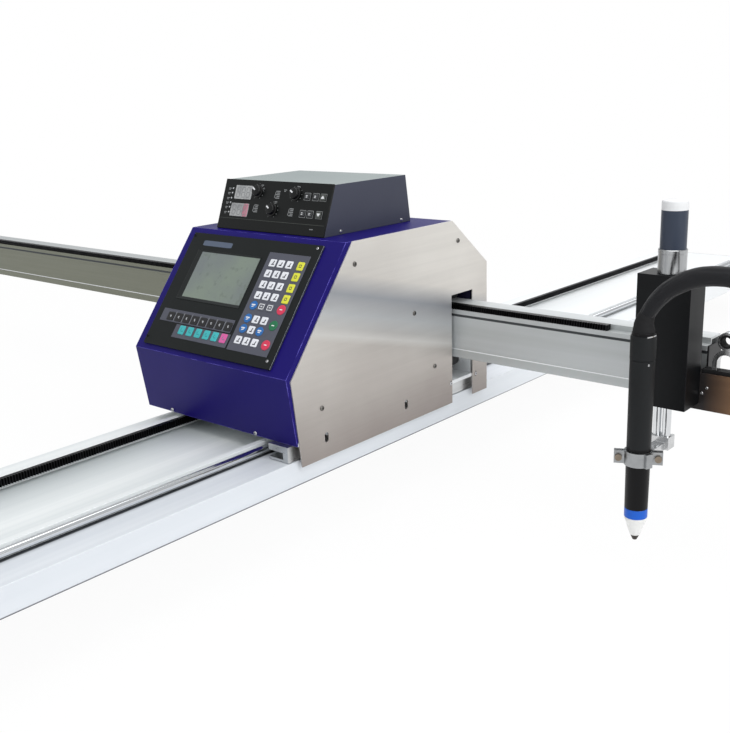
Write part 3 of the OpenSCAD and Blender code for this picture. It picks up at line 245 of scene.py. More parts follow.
# Repeated parts, placed by Geometry Nodes
def makePlacingTree():
    # Puts a shape on each point, turned and stretched by the point's own attributes
    tree = bpy.data.node_groups.new("placedParts", "GeometryNodeTree")
    sockets = {}
    for label, kind in (
        ("Places", "NodeSocketGeometry"), ("Shape", "NodeSocketObject"),
        ("Size", "NodeSocketFloat"), ("Finish", "NodeSocketMaterial"),
    ):
        made = tree.interface.new_socket(name=label, in_out="INPUT", socket_type=kind)
        sockets[label] = made.identifier
    tree.interface.new_socket(name="Parts", in_out="OUTPUT", socket_type="NodeSocketGeometry")
    given = nodeIn(tree, "NodeGroupInput").outputs
    result = nodeIn(tree, "NodeGroupOutput")

    def own(name):
        return nodeIn(
            tree, "GeometryNodeInputNamedAttribute", {"Name": name}, data_type="FLOAT_VECTOR"
        ).outputs["Attribute"]

    shape = nodeIn(tree, "GeometryNodeObjectInfo", {"Object": given["Shape"]})
    angles = nodeIn(tree, "FunctionNodeEulerToRotation", {0: own("turn")})
    sized = nodeIn(
        tree, "ShaderNodeVectorMath", {0: own("stretch"), "Scale": given["Size"]},
        operation="SCALE",
    )
    onPoints = nodeIn(tree, "GeometryNodeInstanceOnPoints", {
        "Points": given["Places"], "Instance": shape.outputs["Geometry"],
        "Rotation": angles.outputs[0], "Scale": sized.outputs[0],
    })
    real = nodeIn(tree, "GeometryNodeRealizeInstances", {0: onPoints.outputs[0]})
    painted = nodeIn(tree, "GeometryNodeSetMaterial", {
        "Geometry": real.outputs[0], "Material": given["Finish"],
    })
    feed(result, {"Parts": painted.outputs[0]})
    return tree, sockets


placingTree, placingSockets = makePlacingTree()
shapes = {}


def keepShape(name, rings, degrees=35):
    # A shape that the placing tree repeats; it is thrown away once the parts are made
    shapes[name] = skin(name, rings, None, degrees)


def placed(name, spots, shape, finish):
    # spots is a list of (matrix, stretch); a stretch of 1 is 1 mm for shapes of radius 1
    mesh = meshFrom(name + "Places", [spot.translation for spot, _ in spots], [])
    turns = mesh.attributes.new("turn", "FLOAT_VECTOR", "POINT")
    turns.data.foreach_set("vector", [c for spot, _ in spots for c in spot.to_euler()])
    stretches = mesh.attributes.new("stretch", "FLOAT_VECTOR", "POINT")
    stretches.data.foreach_set("vector", [float(c) for _, stretch in spots for c in stretch])
    made = addObject(name + "Places", mesh)
    maker = made.modifiers.new("placedParts", "NODES")
    maker.node_group = placingTree
    for label, value in (("Shape", shapes[shape]), ("Size", 1.0), ("Finish", mats[finish])):
        maker[placingSockets[label]] = value
    return finishMesh(made, name)


# Shader groups that several finishes share
def newGroup(name, inputs, outputs):
    # A number makes a value socket and three numbers make a vector socket
    tree = bpy.data.node_groups.new(name, "ShaderNodeTree")
    for label, value in inputs.items():
        kind = "NodeSocketVector" if isinstance(value, tuple) else "NodeSocketFloat"
        made = tree.interface.new_socket(name=label, in_out="INPUT", socket_type=kind)
        made.default_value = value
    for label in outputs:
        tree.interface.new_socket(name=label, in_out="OUTPUT", socket_type="NodeSocketFloat")
    return tree, nodeIn(tree, "NodeGroupInput").outputs, nodeIn(tree, "NodeGroupOutput")


def makeGrainGroup():
    # Fine moulded or powder-coat grain, with slow patches of shade
    tree, given, result = newGroup(
        "grain", {"Scale": 900.0, "Patch Scale": 6.0}, ("Height", "Patches")
    )
    place = objectPlace(tree)
    feed(result, {
        "Height": noiseIn(tree, place, given["Scale"], 3),
        "Patches": noiseIn(tree, place, given["Patch Scale"], 4),
    })
    return tree


def makeBrushGroup():
    # Long fine lines left by brushing, drawing or extruding, and wider streaks along them
    tree, given, result = newGroup(
        "brush", {"Stretch": (1.0, 1.0, 1.0), "Scale": 1.0}, ("Lines", "Streaks")
    )
    stretched = nodeIn(
        tree, "ShaderNodeVectorMath", {0: objectPlace(tree), 1: given["Stretch"]},
        operation="MULTIPLY",
    )
    for label, factor, detail in (("Lines", 1.0, 4), ("Streaks", 0.12, 2)):
        scale = mathIn(tree, "MULTIPLY", given["Scale"], factor)
        feed(result, {label: noiseIn(tree, stretched.outputs[0], scale, detail)})
    return tree


def makeEdgeRubbingAndHighlightGroup():
    # Mask of outer edges, broken up by noise, for edge wear and for painted edge highlights
    tree, given, result = newGroup("edgeRubbingAndHighlight", {"Width": 0.001, "Amount": 1.0}, ("Mask",))
    soft = nodeIn(tree, "ShaderNodeBevel", {"Radius": given["Width"]}, samples=4)
    flat = nodeIn(tree, "ShaderNodeNewGeometry")
    same = nodeIn(
        tree, "ShaderNodeVectorMath", {0: soft.outputs["Normal"], 1: flat.outputs["Normal"]},
        operation="DOT_PRODUCT",
    )
    edge = rangedIn(tree, same.outputs["Value"], 0, 1, 0.995, 0.86)
    patch = rangedIn(tree, noiseIn(tree, objectPlace(tree), 45), 0, 1, 0.35, 0.6)
    both = mathIn(tree, "MULTIPLY", edge, patch)
    feed(result, {"Mask": mathIn(tree, "MULTIPLY", both, given["Amount"], use_clamp=True)})
    return tree


def makeBraidGroup():
    # Braided yarns that cross on a tube, from the tube's own map
    tree, given, result = newGroup(
        "braid", {"Vector": (0.0, 0.0, 0.0), "Pitch": 0.002}, ("Height", "Yarn")
    )
    split = nodeIn(tree, "ShaderNodeSeparateXYZ", {0: given["Vector"]}).outputs
    waves = []
    for operation in ("ADD", "SUBTRACT"):
        crossed = mathIn(tree, operation, split["X"], split["Y"])
        turns = mathIn(tree, "DIVIDE", crossed, given["Pitch"])
        waves.append(mathIn(tree, "ABSOLUTE", mathIn(tree, "SINE", turns)))
    feed(result, {
        "Height": mathIn(tree, "MAXIMUM", *waves), "Yarn": mathIn(tree, "MULTIPLY", *waves),
    })
    return tree


groups = {
    "grain": makeGrainGroup(), "brush": makeBrushGroup(), "wear": makeEdgeRubbingAndHighlightGroup(),
    "braid": makeBraidGroup(),
}


# Materials
def linear(color, factor=1.0):
    # A colour as it looks on a screen, 0 to 255, made darker or brighter by the factor
    light = [
        c / 12.92 if c <= 0.04045 else ((c + 0.055) / 1.055) ** 2.4
        for c in (c / 255 for c in color)
    ]
    return (*(min(1.0, c * factor) for c in light), 1)


class Finish:
    # One material under construction; depths and widths are in mm
    def __init__(self, name, color, roughness=0.5, metallic=0.0, coat=0.0, gloss=0.5):
        self.material = bpy.data.materials.new(name)
        self.material.use_nodes = True
        self.tree = self.material.node_tree
        self.shader = self.tree.nodes["Principled BSDF"]
        self.color = linear(color)
        feed(self.shader, {
            "Base Color": self.color, "Roughness": roughness, "Metallic": metallic,
            "Coat Weight": coat, "Specular IOR Level": gloss,
        })

    def group(self, name, feeds):
        return nodeIn(self.tree, "ShaderNodeGroup", feeds, node_tree=groups[name]).outputs

    def along(self, axis):
        return nodeIn(self.tree, "ShaderNodeSeparateXYZ", {0: objectPlace(self.tree)}).outputs[axis]

    def ranged(self, value, low, high, start=0.3, end=0.7):
        return rangedIn(self.tree, value, low, high, start, end)

    def bump(self, height, strength, depth):
        made = nodeIn(self.tree, "ShaderNodeBump", {
            "Height": height, "Strength": strength, "Distance": depth * mm,
        })
        feed(self.shader, {"Normal": made.outputs["Normal"]})

    def roughen(self, value, low, high):
        feed(self.shader, {"Roughness": self.ranged(value, low, high)})

    def tint(self, mask, other, factor=1.0):
        # Mixes another colour over the colours so far, by a mask
        mixed = nodeIn(self.tree, "ShaderNodeMix", {
            "Factor": mask, "A": self.color, "B": linear(other, factor),
        }, data_type="RGBA")
        self.color = mixed.outputs["Result"]
        feed(self.shader, {"Base Color": self.color})

    def wear(self, other, width, amount, factor=1.0):
        # Another tone along the outer edges, for rubbing and for painted highlight
        edge = self.group("wear", {"Width": width * mm, "Amount": amount})
        self.tint(edge["Mask"], other, factor)


def paint(name, color, roughness, grain, depth, worn, wear, gloss=0.5):
    f = Finish(name, color, roughness, gloss=gloss)
    grains = f.group("grain", {"Scale": grain, "Patch Scale": 5})
    f.bump(grains["Height"], 0.35, depth)
    f.roughen(grains["Patches"], roughness - 0.05, roughness + 0.08)
    f.tint(f.ranged(grains["Patches"], 0, 0.5), color, 0.8)
    # The edges take a paler tone: rubbing, and on the cover a painted highlight along its bent
    # edges
    f.wear(worn, 1.2, wear)
    return f.material


def metal(name, color, roughness, stretch, scale, spread, depth, dark, wear=0.0):
    f = Finish(name, color, roughness, 1.0)
    brush = f.group("brush", {"Stretch": stretch, "Scale": scale})
    f.bump(brush["Lines"], 0.25, depth)
    f.roughen(brush["Lines"], roughness - spread, roughness + spread)
    f.tint(f.ranged(brush["Streaks"], 0, 1), color, dark)
    if wear:
        f.wear(color, 0.8, wear, 1.25)
    return f.material


def plastic(name, color, roughness=0.45, grain=1600, depth=0.06, coat=0.0, gloss=0.5):
    f = Finish(name, color, roughness, 0.0, coat, gloss)
    grains = f.group("grain", {"Scale": grain, "Patch Scale": 14})
    f.bump(grains["Height"], 0.25, depth)
    f.roughen(grains["Patches"], roughness - 0.06, roughness + 0.06)
    f.tint(f.ranged(grains["Patches"], 0, 0.6), color, 0.78)
    return f.material


def anodised(name, color, streak, stretch, roughness, turns=(), metallic=0.4):
    # Pale extrusion: part metal, with fine drawn lines and faint wider bands
    f = Finish(name, color, roughness, metallic)
    brush = f.group("brush", {"Stretch": stretch, "Scale": 420})
    f.bump(brush["Lines"], 0.2, 0.03)
    f.roughen(brush["Lines"], roughness - 0.06, roughness + 0.08)
    f.tint(f.ranged(brush["Streaks"], 0, 1), streak)
    clouds = f.group("grain", {"Scale": 300, "Patch Scale": 2.2})
    f.tint(f.ranged(clouds["Patches"], 0, 0.45), streak, 0.9)
    for axis, start, end, target in turns:
        f.tint(f.ranged(f.along(axis), 0, 1, start, end), target)
    return f.material


def displayGlass(name, color, patch, patchScale, dotScale):
    # Unlit liquid-crystal window with a faint, uneven field
    f = Finish(name, color, 0.22, coat=0.4)
    grains = f.group("grain", {"Scale": 120, "Patch Scale": patchScale})
    f.tint(f.ranged(grains["Patches"], 0, 1, 0.42, 0.62), patch)
    dots = noiseIn(f.tree, objectPlace(f.tree), dotScale)
    f.tint(f.ranged(dots, 0, 0.45, 0.6, 0.7), color, 0.6)
    return f.material


sheet = {
    "color": (228, 225, 219),
    "clouds": (204, 197, 191),
    # painted shade, darker towards the sheet's foot
    "soil": (136, 127, 123),
    # painted highlight along the sheet's edges
    "worn": (240, 240, 240),
    # slanting bands of painted reflection
    "reflectionSlope": 0.26,
    "bands": [  # level at Y = 0 and half width in metres, strength, colour
        (0.232, 0.04, 0.65, (190, 196, 201)), (0.264, 0.034, 0.8, (154, 159, 168)),
        (0.196, 0.012, 0.5, (226, 226, 223)),
    ],
}


def brushedSheet():
    # Bare sheet, brushed along its length, with painted shade darker towards its foot, slanting
    # bands of painted reflection and a painted highlight on its edges
    f = Finish("brushedSheet", sheet["color"], 0.4, 0.6)
    brush = f.group("brush", {"Stretch": (1, 0.02, 1), "Scale": 700})
    f.bump(brush["Lines"], 0.3, 0.03)
    f.roughen(brush["Lines"], 0.34, 0.48)
    f.tint(f.ranged(brush["Streaks"], 0, 0.7), sheet["color"], 0.88)
    clouds = f.group("grain", {"Scale": 300, "Patch Scale": 3})["Patches"]
    f.tint(f.ranged(clouds, 0, 0.4), sheet["clouds"])
    level = f.along("Z")
    foot = f.ranged(level, 0.85, 0, 0.13, 0.36)
    # Painted shade towards the foot, broken up by the patches
    f.tint(mathIn(f.tree, "ADD", foot, f.ranged(clouds, -0.1, 0.14)), sheet["soil"])
    lean = mathIn(f.tree, "MULTIPLY_ADD", f.along("Y"), sheet["reflectionSlope"], level)
    # Slanting bands of painted reflection
    for middle, half, strength, target in sheet["bands"]:
        away = mathIn(f.tree, "ABSOLUTE", mathIn(f.tree, "SUBTRACT", lean, middle))
        f.tint(f.ranged(away, strength, 0, 0, half), target)
    # Painted highlight along the edges
    f.wear(sheet["worn"], 0.8, 0.8)
    return f.material


def sleeveCloth():
    f = Finish("sleeveCloth", (12, 12, 15), 0.66, gloss=0.2)
    feed(f.shader, {"Sheen Weight": 0.12})
    own = nodeIn(f.tree, "ShaderNodeUVMap", uv_map="sleeveMap")
    braid = f.group("braid", {"Vector": own.outputs["UV"], "Pitch": 0.0009})
    f.bump(braid["Height"], 0.8, 0.5)
    f.tint(f.ranged(braid["Yarn"], 0, 1, 0.1, 0.8), (28, 29, 33))
    return f.material


def makeCaseTopSheen():
    # The case's top: its paint made paler than on the sides, as a painted sheen of the light it
    # catches
    f = Finish("caseTopSheen", (150, 160, 158), 0.42)
    grains = f.group("grain", {"Scale": 800, "Patch Scale": 4})
    f.bump(grains["Height"], 0.35, 0.2)
    f.tint(f.ranged(grains["Patches"], 0, 0.6), (132, 142, 144))
    return f.material


evenly = (1, 1, 1)
lengthwise = (1, 0.012, 1)
crosswise = (0.012, 1, 1)
upright = (1, 1, 0.015)
# Painted light: paler towards the rail's far end
paintedLightFar = ("Y", -0.3, 1.1, (244, 246, 247))

paints = {
    # name: colour, roughness, grain and its depth, colour and amount of edge wear (on the cover a
    # painted highlight), gloss
    # The cover's pale edge tone is a painted highlight on its rounded edges
    "coverPaint": ((22, 9, 104), 0.4, 900, 0.1, (140, 130, 250), 1.0, 0.16),
    "barPaint": ((120, 122, 124), 0.5, 900, 0.15, (180, 180, 178), 0.5),
    "caseSidePaint": ((60, 63, 78), 0.5, 700, 0.25, (104, 107, 120), 0.4, 0.35),
    "housingPaint": ((110, 111, 113), 0.5, 900, 0.12, (170, 170, 170), 0.4),
    "motorPaint": ((34, 34, 36), 0.45, 900, 0.1, (90, 90, 92), 0.4),
    "lifterPaint": ((9, 11, 14), 0.42, 800, 0.16, (58, 60, 70), 0.5, 0.2),
    "canPaint": ((40, 51, 70), 0.36, 900, 0.1, (110, 122, 142), 0.4),
}
metals = {
    # name: colour, roughness, direction and scale of the lines, spread of the roughness,
    # depth, darkness of the streaks, wear
    "rackSteel": ((46, 46, 48), 0.42, evenly, 350, 0.08, 0.05, 0.6, 0.4),
    "groundRod": ((222, 224, 226), 0.14, lengthwise, 900, 0.05, 0.01, 0.92),
    "liftRod": ((224, 226, 228), 0.12, upright, 900, 0.05, 0.01, 0.92),
    "machinedAluminium": ((205, 207, 208), 0.34, lengthwise, 600, 0.08, 0.03, 0.88, 0.4),
    "machinedBlock": ((212, 213, 214), 0.25, crosswise, 600, 0.08, 0.03, 0.85, 0.4),
    "capAluminium": ((170, 172, 174), 0.4, crosswise, 500, 0.08, 0.03, 0.85),
    "screwSteel": ((128, 126, 122), 0.34, evenly, 700, 0.08, 0.03, 0.6),
    "darkScrew": ((44, 44, 46), 0.4, evenly, 700, 0.08, 0.03, 0.6),
    "boltSteel": ((150, 138, 124), 0.36, evenly, 500, 0.08, 0.03, 0.6, 0.4),
    "zincPlate": ((176, 178, 180), 0.36, evenly, 300, 0.1, 0.04, 0.75, 0.4),
    "nickel": ((200, 200, 202), 0.2, evenly, 400, 0.06, 0.02, 0.85),
    "chromed": ((214, 215, 216), 0.16, evenly, 300, 0.06, 0.03, 0.8, 0.3),
    "brass": ((206, 176, 102), 0.28, evenly, 500, 0.08, 0.03, 0.8, 0.4),
    "panelEdge": ((120, 124, 128), 0.45, evenly, 500, 0.06, 0.04, 0.82),
    "gearSteel": ((182, 182, 182), 0.3, evenly, 500, 0.08, 0.03, 0.8, 0.4),
    "gearboxSteel": ((200, 202, 204), 0.24, upright, 300, 0.08, 0.04, 0.55, 0.3),
    "rollerSteel": ((150, 152, 154), 0.28, (1, 1, 0.05), 600, 0.08, 0.03, 0.8),
    "supplySheet": ((190, 192, 194), 0.4, lengthwise, 400, 0.08, 0.03, 0.85),
    "tipMetal": ((84, 80, 76), 0.4, evenly, 600, 0.08, 0.05, 0.5),
}
plastics = {
    # name: colour, roughness, grain and its depth, coat, gloss
    "rubber": ((20, 20, 22), 0.7, 700, 0.2, 0.0, 0.3),
    "nylon": ((26, 26, 28), 0.5, 900, 0.1),
    "panelFilm": ((15, 20, 20), 0.45, 1500, 0.05, 0.0, 0.25),
    "screenRim": ((26, 30, 30), 0.5, 1500, 0.05, 0.0, 0.3),
    "faceFilm": ((10, 13, 12), 0.35, 1500, 0.04, 0.0, 0.3),
    "keypadFilm": ((78, 80, 92), 0.5, 1500),
    "whiteKey": ((232, 234, 240), 0.45),
    "yellowKey": ((222, 222, 60), 0.45),
    "outlineKey": ((96, 98, 108), 0.45),
    "blueKey": ((30, 104, 176), 0.45),
    "redKey": ((214, 50, 84), 0.45),
    "greenKey": ((20, 110, 70), 0.45),
    "blackKey": ((22, 22, 24), 0.4),
    "tealKey": ((60, 180, 184), 0.45),
    "pinkKey": ((214, 92, 160), 0.45),
    "darkInk": ((48, 48, 58), 0.5),
    "whiteInk": ((235, 236, 238), 0.5),
    "paleInk": ((178, 180, 184), 0.5),
    "greyInk": ((136, 138, 139), 0.5),
    "stripInk": ((84, 96, 116), 0.5),
    "tealInk": ((36, 132, 140), 0.5),
    "seamInk": ((70, 74, 70), 0.5),
    "segmentInk": ((128, 129, 131), 0.4),
    "paleLamp": ((186, 188, 190), 0.25, 1200, 0.03, 0.3),
    "buttonPlastic": ((48, 50, 52), 0.45),
    "knobPlastic": ((9, 9, 10), 0.36, 900, 0.05, 0.0, 0.35),
    "redRocker": ((190, 26, 26), 0.35, 1200, 0.05, 0.2),
    "capWhite": ((226, 227, 228), 0.45),
    "torchSleeve": ((24, 26, 28), 0.5, 900, 0.12, 0.0, 0.22),
    "torchDark": ((6, 5, 8), 0.42, 900, 0.1, 0.0, 0.2),
    "blueRing": ((4, 92, 204), 0.34, 1200, 0.04, 0.0, 0.35),
    "ceramic": ((238, 238, 236), 0.3, 1200, 0.04, 0.2),
}
extrusions = {
    # name: colour, streak, direction, roughness, colour changes as (axis, start, end, colour),
    # share of metal
    "railAluminium": ((240, 243, 243), (228, 232, 233), lengthwise, 0.5, [paintedLightFar], 0.15),
    # The deck's copy, with a painted reflection of the left ridge darkening it towards that ridge
    "railDeck": ((240, 243, 243), (224, 229, 230), lengthwise, 0.5,
                 [("X", 0.01, -0.115, (172, 180, 182)), paintedLightFar], 0.15),
    # The flange's bluer copy, with a painted shadow in a strip at the foot of the rod
    "railFlange": ((227, 231, 236), (213, 218, 224), lengthwise, 0.5,
                   [("X", 0.1225, 0.1195, (64, 66, 72)), paintedLightFar], 0.15),
    # The side's bluer copy, with painted shade in a strip along its foot
    "railFlank": ((228, 232, 237), (217, 222, 228), lengthwise, 0.5,
                  [("Z", 0.1026, 0.1014, (96, 98, 104)), paintedLightFar], 0.15),
    # Darker copy for the rounded edge between flange and side, as painted shade
    "railEdge": ((150, 154, 160), (136, 140, 146), lengthwise, 0.5, [paintedLightFar], 0.15),
    "beamAluminium": ((208, 211, 213), (192, 196, 196), crosswise, 0.45),
    # Copy of the beam's finish for its front and top, with painted shade towards its left end
    "beamFace": ((208, 211, 213), (192, 196, 196), crosswise, 0.45,
                 [("X", -0.05, -0.45, (124, 126, 112))]),
    # Painted shade in the grooves, and painted highlight on the ridges
    "grooveShade": ((92, 96, 98), (74, 78, 80), crosswise, 0.5),
    "ridgeHighlight": ((246, 247, 248), (232, 234, 236), crosswise, 0.35),
    "guideAluminium": ((240, 242, 244), (226, 229, 231), crosswise, 0.45,
                       [("Z", 0.285, 0.305, (30, 28, 58))], 0.05),
    "basePlate": ((240, 242, 244), (226, 229, 231), lengthwise, 0.45, (), 0.05),
    "bracketSheet": ((156, 118, 84), (124, 92, 66), crosswise, 0.36,
                     [("X", 0.712, 0.662, (48, 44, 44))]),
}
displays = {
    # name: colour, patches, scale of the patches and of the dots
    "lcdGlass": ((120, 132, 120), (110, 118, 118), 9, 70),
    "greyDisplay": ((172, 173, 173), (142, 143, 145), 60, 260),
    "pinkDisplay": ((196, 130, 146), (160, 110, 122), 60, 260),
}

mats = {"brushedSheet": brushedSheet(), "sleeveCloth": sleeveCloth(), "caseTopSheen": makeCaseTopSheen()}
for maker, table in (
    (paint, paints), (metal, metals), (plastic, plastics), (anodised, extrusions),
    (displayGlass, displays),
):
    for name, values in table.items():
        mats[name] = maker(name, *values)
print("materials", len(mats))


# Hose
hose = {
    "route": [
        (626, -333, 357), (626, -333, 369), (630, -331, 383), (640, -327, 401), (653, -320, 416),
        (669, -313, 427), (686, -305, 434), (704, -298, 437), (722, -290, 436), (739, -282, 432),
        (755, -275, 424), (768, -269, 412), (778, -265, 397), (784, -262, 380), (787, -261, 362),
        (788, -260, 343), (788, -260, 321),
    ],
    "radius": 13.9,
    "neckRadius": 10.6,
    "neckRun": 115,
    "sides": 56,
    "stepsPerSpan": 12,
    "creaseDepth": 0.55,
    "creaseLength": 14,
    "creasesRound": 3.2,
    "looseNearTorch": 1.9,
    "looseRun": 90,
    "bootSides": 48,
    "bootRib": 0.35,
}
boots = {
    # name: end of the hose, length, radius at its root and at its tip, ribs
    "torchBoot": ("start", 24, 15.4, 11.2, 3),
    "couplingBoot": ("end", 42, 17.2, 14.3, 5),
}


def smoothLine(points, steps):
    # Rounds the corners of a list of points, and keeps both of its ends
    line = []
    last = len(points) - 1
    for i in range(last):
        before, a, b, after = (
            points[max(0, i - 1)], points[i], points[i + 1], points[min(last, i + 2)]
        )
        for k in range(steps):
            t = k / steps
            line.append(0.5 * (
                2 * a + (b - before) * t + (2 * before - 5 * a + 4 * b - after) * t * t
                + (3 * a - before - 3 * b + after) * t * t * t
            ))
    line.append(points[last])
    return line


def framesAlong(line):
    # For each point of a line: itself, two directions across the line, and the run so far
    made = []
    run = 0.0
    across = Vector((0.41, -0.91, 0)).normalized()
    for i, place in enumerate(line):
        if i:
            run += (place - line[i - 1]).length
        ahead = (line[min(i + 1, len(line) - 1)] - line[max(i - 1, 0)]).normalized()
        across = (across - ahead * across.dot(ahead)).normalized()
        made.append((place, across, ahead.cross(across), run))
    return made


def hoseLine():
    return smoothLine([Vector(p) * mm for p in hose["route"]], hose["stepsPerSpan"])


def ringAcross(place, side, other, radii):
    # A ring across a line, with one radius in mm for each of its points
    return [
        place + (math.cos(a) * side + math.sin(a) * other) * (radius * mm)
        for a, radius in zip(anglesRound(len(radii)), radii)
    ]


def makeHose():
    frames = framesAlong(hoseLine())
    sides = hose["sides"]
    rings = []
    for place, side, other, run in frames:
        loose = 1 + (hose["looseNearTorch"] - 1) * max(0.0, 1 - run / (hose["looseRun"] * mm))
        grown = min(1.0, run / (hose["neckRun"] * mm))
        swell = (hose["radius"] - hose["neckRadius"]) * grown * grown * (3 - 2 * grown)
        radii = []
        for a in anglesRound(sides):
            spot = Vector((
                math.cos(a) * hose["creasesRound"], math.sin(a) * hose["creasesRound"],
                run / (hose["creaseLength"] * mm),
            ))
            crease = noise.noise(spot) * hose["creaseDepth"] * loose
            radii.append(hose["neckRadius"] + swell + min(0.0, crease) * 2)
        rings.append(ringAcross(place, side, other, radii))
    made = skin("hoseSleeve", rings, "sleeveCloth", 60)
    layer = made.data.uv_layers.new(name="sleeveMap")
    girth = 2 * math.pi * hose["radius"] * mm
    for face in made.data.polygons[:(len(rings) - 1) * sides]:
        i, k = divmod(face.index, sides)
        corners = ((i, k), (i, k + 1), (i + 1, k + 1), (i + 1, k))
        for loop, (row, column) in zip(face.loop_indices, corners):
            layer.data[loop].uv = (column / sides * girth, frames[row][3])
    run = frames[-1][3]
    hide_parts("torch_hose")
    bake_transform(made)
    print("hose", round(run, 4), "m")


def makeBoots():
    # Tapered, ribbed boots over both ends of the hose
    for name, (end, length, root, tip, ribs) in boots.items():
        line = hoseLine() if end == "start" else list(reversed(hoseLine()))
        covered = [f for f in framesAlong(line) if f[3] <= length * mm]
        rings = []
        for place, side, other, run in covered:
            t = run / covered[-1][3]
            radius = root + (tip - root) * t + hose["bootRib"] * abs(math.sin(math.pi * ribs * t))
            rings.append(ringAcross(place, side, other, [radius] * hose["bootSides"]))
        node = "torch_body" if end == "start" else "hose_coupling"
        goWith(skin(name, rings, "rubber", 50), node)


makeHose()
makeBoots()


# Carried-over nodes and nodes with rounded edges
plainFinish = {
    "rail_rack": "rackSteel", "guide_rods": "groundRod", "base_plate": "basePlate",
    "roller_axles": "zincPlate", "y_pinion": "gearSteel", "x_pinion": "gearSteel",
    "beam_rack": "rackSteel", "lead_screw": "gearSteel", "lifter_rods": "liftRod",
    "levelling_feet": "zincPlate", "controller_housing": "housingPaint",
    "beam_guide": "guideAluminium", "power_supply": "supplySheet",
    **{f"rail_roller_{k}": "rollerSteel" for k in (1, 2, 3, 4)},
}
roundedFinish = {
    # node: finish, edge radius in mm, rings
    "rail_profile": ("railAluminium", 0.6, 2), "rail_end_caps": ("capAluminium", 0.8, 2),
    "end_stops": ("rubber", 1.5, 3), "cross_bars": ("barPaint", 1.5, 2),
    "slider_bars": ("machinedAluminium", 0.3, 2), "cover_shell": ("coverPaint", 1.0, 3),
    "side_plate_right": ("brushedSheet", 0.4, 2), "side_plate_left": ("brushedSheet", 0.4, 2),
    "control_panel": ("panelFilm", 0.6, 2), "keypad_overlays": ("keypadFilm", 0.2, 1),
    "thc_case": ("caseSidePaint", 0.8, 3), "thc_faceplate": ("faceFilm", 0.6, 2),
    "thc_buttons": ("buttonPlastic", 0.8, 2), "y_motor": ("motorPaint", 2.0, 3),
    "x_motor": ("motorPaint", 2.0, 3),
    **{f"beam_roller_{k}": ("nylon", 1.5, 3) for k in (1, 2, 3, 4)},
    "rear_sockets": ("nickel", 0.5, 2), "power_switch": ("redRocker", 1.0, 2),
    "beam_profile": ("beamAluminium", 0.3, 2), "beam_end_caps": ("nylon", 0.8, 2),
    "lifter_bracket": ("bracketSheet", 0.8, 2), "lifter_housing": ("lifterPaint", 1.0, 3),
    "cable_clamp": ("chromed", 0.8, 2), "hose_coupling": ("brass", 0.8, 2),
    "lift_block": ("machinedBlock", 1.2, 3), "torch_clamp": ("zincPlate", 1.0, 3),
}


def camel(node):
    first, *rest = node.split("_")
    return first + "".join(word.capitalize() for word in rest)


rounding = {
    "mergeWithin": 2e-6,
    "flatWithin": 0.6,
    "sharpFrom": 32,
}


def rounded(node, finish, radius, rings):
    # A copy of a node's solid with its sharp edges rounded off
    mesh = frame["nodes"][node].data.copy()
    mesh.materials.clear()
    shape = bmesh.new()
    shape.from_mesh(mesh)
    bmesh.ops.remove_doubles(shape, verts=shape.verts, dist=rounding["mergeWithin"])
    bmesh.ops.dissolve_limit(
        shape, angle_limit=math.radians(rounding["flatWithin"]), verts=shape.verts,
        edges=shape.edges,
    )
    shape.to_mesh(mesh)
    shape.free()
    made = addObject(camel(node) + "Raw", mesh, finish)
    smoothByAngle(mesh, rounding["sharpFrom"])
    edges = made.modifiers.new("edges", "BEVEL")
    edges.width = radius * mm
    edges.segments = rings
    edges.limit_method = "ANGLE"
    edges.angle_limit = math.radians(rounding["sharpFrom"])
    edges.miter_outer = "MITER_ARC"
    made.modifiers.new("normals", "WEIGHTED_NORMAL").keep_sharp = True
    return standFor(finishMesh(made, camel(node)), node)


def looseParts(mesh):
    # Lists of face numbers, one for each part of a mesh that hangs together
    shape = bmesh.new()
    shape.from_mesh(mesh)
    seen = set()
    parts = []
    for start in shape.faces:
        if start.index in seen:
            continue
        seen.add(start.index)
        part, waiting = [], [start]
        while waiting:
            face = waiting.pop()
            part.append(face.index)
            for edge in face.edges:
                for other in edge.link_faces:
                    if other.index not in seen:
                        seen.add(other.index)
                        waiting.append(other)
        parts.append(part)
    shape.free()
    return parts


def finishNumber(mesh, finish):
    # Where a mesh holds a finish, which it is given if it has it not
    name = mats[finish].name
    if mesh.materials.find(name) < 0:
        mesh.materials.append(mats[finish])
    return mesh.materials.find(name)


def refinishParts(made, finish, chosen):
    # Gives some of a piece's loose parts another finish; chosen sees a part's corners in mm
    mesh = made.data
    number = finishNumber(mesh, finish)
    for part in looseParts(mesh):
        spots = [mesh.vertices[v].co / mm for f in part for v in mesh.polygons[f].vertices]
        if chosen(Vector(map(min, *spots)), Vector(map(max, *spots))):
            for f in part:
                mesh.polygons[f].material_index = number


def refinishFaces(made, finishOf):
    # The same for single faces; finishOf sees a face's middle in mm and its normal
    for face in made.data.polygons:
        finish = finishOf(face.center / mm, face.normal)
        if finish:
            face.material_index = finishNumber(made.data, finish)


railZones = {
    "topLevels": (120, 162),
    "deckReach": 99,
    "flange": (118, 180.5),
    "flank": (180.5, 182),
    "flankLevels": (99, 141),
    "edgeFrom": (180, 139),
}
beamZones = {
    "ridgesFrom": -150,
    "plainLevels": (233, 296),
    "lip": (-175.8, -172),
    "lipLevels": (293.8, 298),
    "groovesBelow": 300,
    "topUpTo": -160,
}
caseTopFrom = 500
panelEdgeFrom = 145
facing = 0.9  # how squarely a face looks along an axis to count as looking that way


def within(value, limits):
    return limits[0] < value < limits[1]


